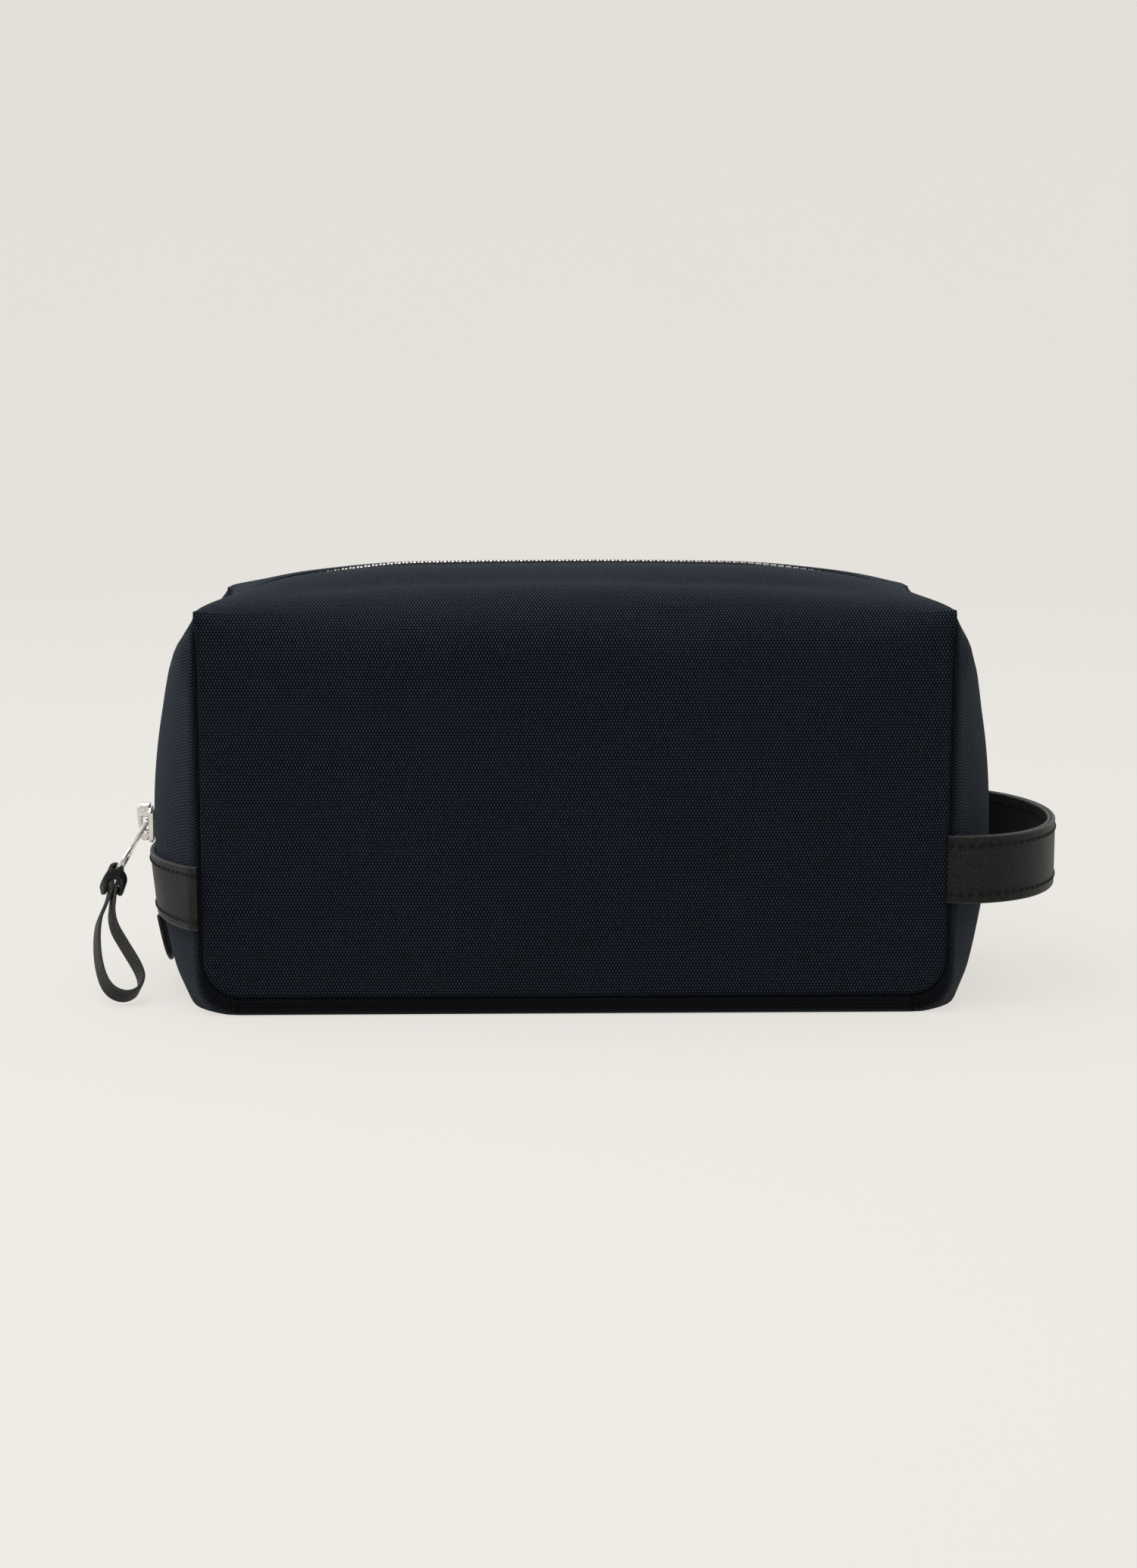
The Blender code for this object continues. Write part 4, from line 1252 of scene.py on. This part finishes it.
def slider_outline():
    """The slider plate's outline: a broad nose above, two shoulders and a narrower tail, as (y, z)."""
    right = [(0.0, 6.6), (2.6, 6.5), (4.0, 5.6), (4.6, 4.0), (4.5, 2.2), (3.9, 0.2), (3.5, -2.0), (3.4, -4.8),
             (3.0, -6.2), (1.8, -6.75)]
    curve = catmull(right, 4).tolist()
    return curve + [(-y, z) for y, z in curve[:0:-1]]


def build_slider():
    """Two plates round the teeth with folded flanges, and the arched crown that holds the link."""
    chain = -float(end_x(SLIDER_Z))
    lift = 1.45
    thick = 1.25
    upright = axes_matrix((0, 1, 0), (0, 0, 1), (chain, 0, SLIDER_Z))
    outline = slider_outline()
    top = plate("slider_top_plate", outline, -lift - thick, -lift, upright, 0.35)
    back = plate("slider_back_plate", outline, lift, lift + thick, upright, 0.3)
    flanges = []
    for face in (-1, 1):
        edge = [(face * 3.5, -5.6), (face * 4.45, -5.6), (face * 4.75, 0.0), (face * 4.75, 4.6), (face * 3.6, 4.6)]
        flanges.append(plate("slider_flange", edge if face > 0 else edge[::-1], -lift - 0.6, -0.75, upright, 0.2))
    wedge = plate("slider_wedge", [(-0.45, 1.5), (0.45, 1.5), (0.3, 5.6), (-0.3, 5.6)], -lift - 0.1, lift + 0.1,
                  upright, 0.1)
    body = merge("zip_slider_plates", [top, back, wedge, *flanges])
    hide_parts("slider_body")
    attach(body, "zip_slider")

    side_on = axes_matrix((-1, 0, 0), (0, 0, 1), (chain, 0, 0))
    outline = catmull([(2.2, 53.3), (4.6, 53.0), (5.9, 53.9), (6.35, 56.0), (6.75, 59.5), (7.1, 62.0), (7.15, 65.0),
                       (6.7, 66.5), (5.4, 67.0), (2.2, 66.9)], 4).tolist()
    window = long_hole(3.9, 58.2, 61.0, 1.35)
    bridge = plate("slider_bridge", outline, -1.75, 1.75, side_on, 0.5, holes=(window,))
    cap = plate("slider_cap", [(2.3, 61.9), (6.2, 61.9), (6.9, 62.6), (6.9, 65.6), (6.0, 66.5), (2.3, 66.5)],
                -2.7, 2.7, side_on, 0.6)
    foot = plate("slider_crown_foot", arc((4.3, 54.9), 1.75, 0, 360, 24), -2.5, 2.5, side_on, 0.5)
    rivets = [plate("slider_rivet", arc((u, v), 0.55, 0, 360, 14), -3.0, 3.0, side_on, 0.2)
              for u, v in ((4.4, 64.4), (4.3, 54.9))]
    crown = merge("slider_crown_bridge", [bridge, cap, foot, *rivets])
    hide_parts("slider_crown")
    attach(crown, "zip_slider")


def bail_axes():
    """Across, down and thickness directions of the link."""
    across = np.array([0.0, 1.0, 0.0])
    down = np.array([-math.sin(BAIL_TILT), 0.0, -math.cos(BAIL_TILT)])
    return across, down


def build_link():
    """The stamped link: a window for the crown, a waist, and a ring for the leather."""
    across, down = bail_axes()
    half = catmull([(0.0, -0.9), (2.4, -0.9), (3.3, 0.3), (3.4, 4.5), (3.3, 8.5), (3.7, 11.0), (5.4, 13.4),
                    (6.8, 15.8), (7.0, 18.6), (6.1, 21.8), (3.8, 24.0), (0.0, 24.3)], 4).tolist()
    window = long_hole(0, 2.1, 6.3, 2.05)
    ring = catmull([(0.0, 12.6), (2.6, 13.6), (4.6, 15.4), (5.35, 18.0), (5.0, 20.6), (3.5, 22.4), (0.0, 22.65)],
                   4).tolist()
    matrix = axes_matrix(across, down, BAIL_PIVOT) @ Matrix.Rotation(LINK_TURN, 4, "Y")
    link = plate("pull_link_plate", mirrored(half), -0.65, 0.65, matrix, 0.3,
                 holes=(window, mirrored(ring)))
    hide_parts("pull_bail")
    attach(link, "pull_link")


def hitch_axes():
    """Where the leather meets the ring: the place, and its across, down and width directions."""
    across, down = bail_axes()
    wire = across * math.cos(HITCH_ANGLE) + down * math.sin(HITCH_ANGLE)
    radial = down * math.cos(HITCH_ANGLE) - across * math.sin(HITCH_ANGLE)
    place = np.array(BAIL_PIVOT) + down * RING_AT + radial * RING_RADIUS
    hang = unit(np.array(LOOP_FOOT) - place)
    side = unit(np.cross(hang, wire))
    return place, side, hang, np.cross(side, hang)


def build_loop():
    """The leather strap: a long loop below, hitched round the ring through its own bight."""
    place, side, hang, width = hitch_axes()
    closed = LOOP_PLAN[-1:] + LOOP_PLAN + LOOP_PLAN[:2]
    plan = catmull(closed, 6)[6:-7]
    count = len(plan)
    before, after = np.roll(plan, 1, axis=0), np.roll(plan, -1, axis=0)
    tangent = after - before
    tangent /= np.linalg.norm(tangent, axis=1)[:, None]
    outward = np.stack([tangent[:, 1], -tangent[:, 0]], axis=1)

    def strap(k, across, out):
        x, y = plan[k] + outward[k] * out
        return place + side * x + hang * y + width * across

    section, sides = rounded_section(STRAP_WIDTH, STRAP_THICKNESS, 0.45)
    loop = sweep("pull_strap_loop", strap, range(count), section, ["leather", "edge"], closed=True,
                 edge_faces=sides)
    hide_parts("pull_loop")
    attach(loop, "pull_strap")

    def collar(angle, across, out):
        c, s = math.cos(angle), math.sin(angle)
        taper = 1 - 0.055 * (across + 1)
        x = (COLLAR_HALF_X * taper + out) * math.copysign(abs(c) ** 0.65, c) - 1.0 - 0.14 * across
        z = (COLLAR_HALF_Z * taper + out) * math.copysign(abs(s) ** 0.65, s)
        y = COLLAR_AT + across * (1 - 0.3 * abs(s)) + 1.6 * math.cos(2 * angle) + 0.4 * s
        return place + side * x + hang * y + width * z

    section, sides = rounded_section(5.2, 1.7, 0.75)
    angles = np.linspace(0, 2 * math.pi, 61)[:-1]
    knot = sweep("pull_strap_hitch", collar, angles, section, ["leather", "edge"], closed=True,
                 edge_faces=sides)
    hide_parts("pull_knot")
    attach(knot, "pull_strap")


# ---------------------------------------------------------------- inside

def build_lining(shell):
    """The lining: a sheet inside each half of the cloth body, over its wall, its top and its ends."""
    inner = shell.points - outward_normals(shell.points, shell.faces) * LINING_DEPTH
    inner[:, 1] = np.maximum(inner[:, 1], 1.0)
    main = shell.index["main"][10::2]
    main = np.vstack([main, shell.index["main"][-1:]])
    uv = shell.lengths()
    grids = [(main[:, 10:-10:2], False)]
    for side_name, side in SIDES.items():
        grids.append((shell.index[side_name][::2, 6:], side > 0))
    for face_name, face in FACES.items():
        faces = np.concatenate([grid_faces(index, flip=flip) for index, flip in grids])
        used, local = np.unique(faces, return_inverse=True)
        faces = local.reshape(faces.shape)
        points = inner[used] * (1, face, 1)
        obj = make_piece(face_name + "_lining", points, faces if face > 0 else faces[:, ::-1], ["lining"],
                         uv[used])
        if face < 0:
            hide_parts("lining_tub")
        mouth_blend(obj)


def build_lining_floor():
    """The lining's floor over the stiffening board, turned up at its edges."""
    rows = []
    for y in np.linspace(-53.0, 53.0, 23):
        row = []
        for s in np.linspace(-1, 1, 51):
            reach = SEAM_X - 2 + 13.5 * (1 - (abs(y) / SEAM_Y) ** END_POWER)
            x = s * reach
            near = max(abs(s), abs(y) / 53.0)
            lift = 12.0 * max(0.0, (near - 0.92) / 0.08) ** 2
            ripple = 0.25 * noise.noise(Vector((x / 25, y / 25, 5.0)))
            row.append((x, y, 5.4 + lift + ripple))
        rows.append(row)
    points = np.array(rows)
    index = numbered(points)
    uv = points.reshape(-1, 3)[:, :2]
    floor = make_piece("lining_floor", points.reshape(-1, 3), grid_faces(index), ["lining"], uv)
    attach(floor, "bag_body")


def finer(section, step):
    """The same outline with its long sides divided, so that the piece can bend across them."""
    section = np.array(section, float)
    points = []
    for a, b in zip(section, np.roll(section, -1, axis=0)):
        pieces = max(1, round(np.linalg.norm(b - a) / step))
        points += [lerp(a, b, k / pieces) for k in range(pieces)]
    return points


def build_pocket():
    """The slip pocket on the rear lining, with a bound top edge."""
    half, low, high = 88.0, 30.0, 100.0

    def place(x, across, out):
        z = (low + high) / 2 + across
        bow = 1.4 * math.sin(math.pi * (z - low) / (high - low)) * math.cos(x / half * math.pi / 2)
        return np.array([x, float(wall_y(x, z)) - 3.6 - bow - out, z])

    section, _ = rounded_section(high - low, 0.7, 0.3)
    pocket = sweep("slip_pocket", place, np.linspace(-half, half, 45), finer(section, 3.5), ["lining"])
    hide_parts("inner_pocket")
    mouth_blend(pocket)
    section, _ = rounded_section(7.0, 1.5, 0.6)
    binding = sweep("pocket_binding", lambda x, a, b: place(x, a + (high - low) / 2 - 2.5, b),
                    np.linspace(-half, half, 45), section, ["zip_tape"])
    mouth_blend(binding)


# ---------------------------------------------------------------- stage

def build_stage():
    """A seamless round studio sweep, and soft light from above and the left."""
    found, tree, shader = new_material("studio_sweep")
    tone = noise_value(tree, 3, 2, object_place(tree))
    fill(tree, shader, {
        "Base Color": ramp(tree, tone, ((0.0, (0.108, 0.106, 0.103)), (1.0, (0.112, 0.110, 0.107)))),
        "Roughness": 0.9, "Specular IOR Level": 0.0,
        "Emission Color": (0.668, 0.650, 0.612, 1), "Emission Strength": 1.0})
    MATERIALS["sweep"] = found
    flat, curve, wall = 2200.0, 1400.0, 3400.0
    profile = [(r, 0.0) for r in (0.01, 200, 500, 900, 1400, flat)]
    profile += [(flat + curve * math.sin(a), curve * (1 - math.cos(a))) for a in np.radians(np.linspace(6, 90, 15))]
    profile.append((flat + curve, wall))
    sides = 96
    points = [(r * math.cos(2 * math.pi * s / sides), r * math.sin(2 * math.pi * s / sides), z)
              for r, z in profile for s in range(sides)]
    faces = [(j * sides + s, (j + 1) * sides + s, (j + 1) * sides + (s + 1) % sides, j * sides + (s + 1) % sides)
             for j in range(len(profile) - 1) for s in range(sides)]
    floor = make_piece("studio_floor", points, faces, ["sweep"])

    world = bpy.data.worlds.new("studio")
    bpy.context.scene.world = world
    world.use_nodes = True
    fill(world.node_tree, world.node_tree.nodes["Background"], {"Color": (1.0, 1.0, 1.0, 1), "Strength": 1.0})
    add_light("overhead_softbox", (-0.35, 0.25, 1.9), (0, 0, 0.08), 1.7, 19.0)
    add_light("left_softbox", (-1.7, -0.5, 0.9), (0, 0, 0.08), 1.0, 9.0)
    add_light("front_softbox", (-0.15, -0.50, 0.85), (0, 0, 0.10), 0.5, 3.6)

    view = bpy.context.scene.view_settings
    view.view_transform = "Standard"
    view.look = "None"


def add_light(name, place, target, size, power):
    data = bpy.data.lights.new(name, "AREA")
    data.size = size
    data.energy = power
    light = bpy.data.objects.new(name, data)
    light.location = place
    light.rotation_euler = (Vector(target) - Vector(place)).to_track_quat("-Z", "Y").to_euler()
    bpy.context.scene.collection.objects.link(light)


def build_camera():
    """The camera, in metres, where it was fitted to the photo."""
    azimuth, elevation, distance = math.radians(-1.3), math.radians(8.7), 0.9
    target = Vector((-0.0027, -0.059, 0.0823))
    back = Vector((math.sin(azimuth) * math.cos(elevation), -math.cos(azimuth) * math.cos(elevation),
                   math.sin(elevation)))
    data = bpy.data.cameras.new("camera")
    data.lens = 59.68
    data.sensor_width = 36
    camera = bpy.data.objects.new("camera", data)
    camera.location = target + back * distance
    camera.rotation_euler = (-back).to_track_quat("-Z", "Y").to_euler()
    bpy.context.scene.collection.objects.link(camera)
    bpy.context.scene.camera = camera


def dress_frame():
    """Gives the frame's remaining parts their materials."""
    for name, part in frame["nodes"].items():
        if name == "base_board" or not part.hide_render:
            slot = next(s["material_slot"] for s in frame["record"]["subparts"] if s["node"] == name)
            part.data.materials.clear()
            part.data.materials.append(MATERIALS[slot])


build_camera()
build_stage()
SHELL = build_shells()
build_gusset()
for zip_face_name, zip_face in FACES.items():
    build_zip(zip_face_name, zip_face)
build_band()
build_tab("left", -1, BAND_BOTTOM - BAND_DIP + 1.0, 18.0)
build_tab("right", 1, 49.0, 16.0)
build_handle()
build_slider()
build_link()
build_loop()
build_lining(SHELL)
build_lining_floor()
build_pocket()
dress_frame()
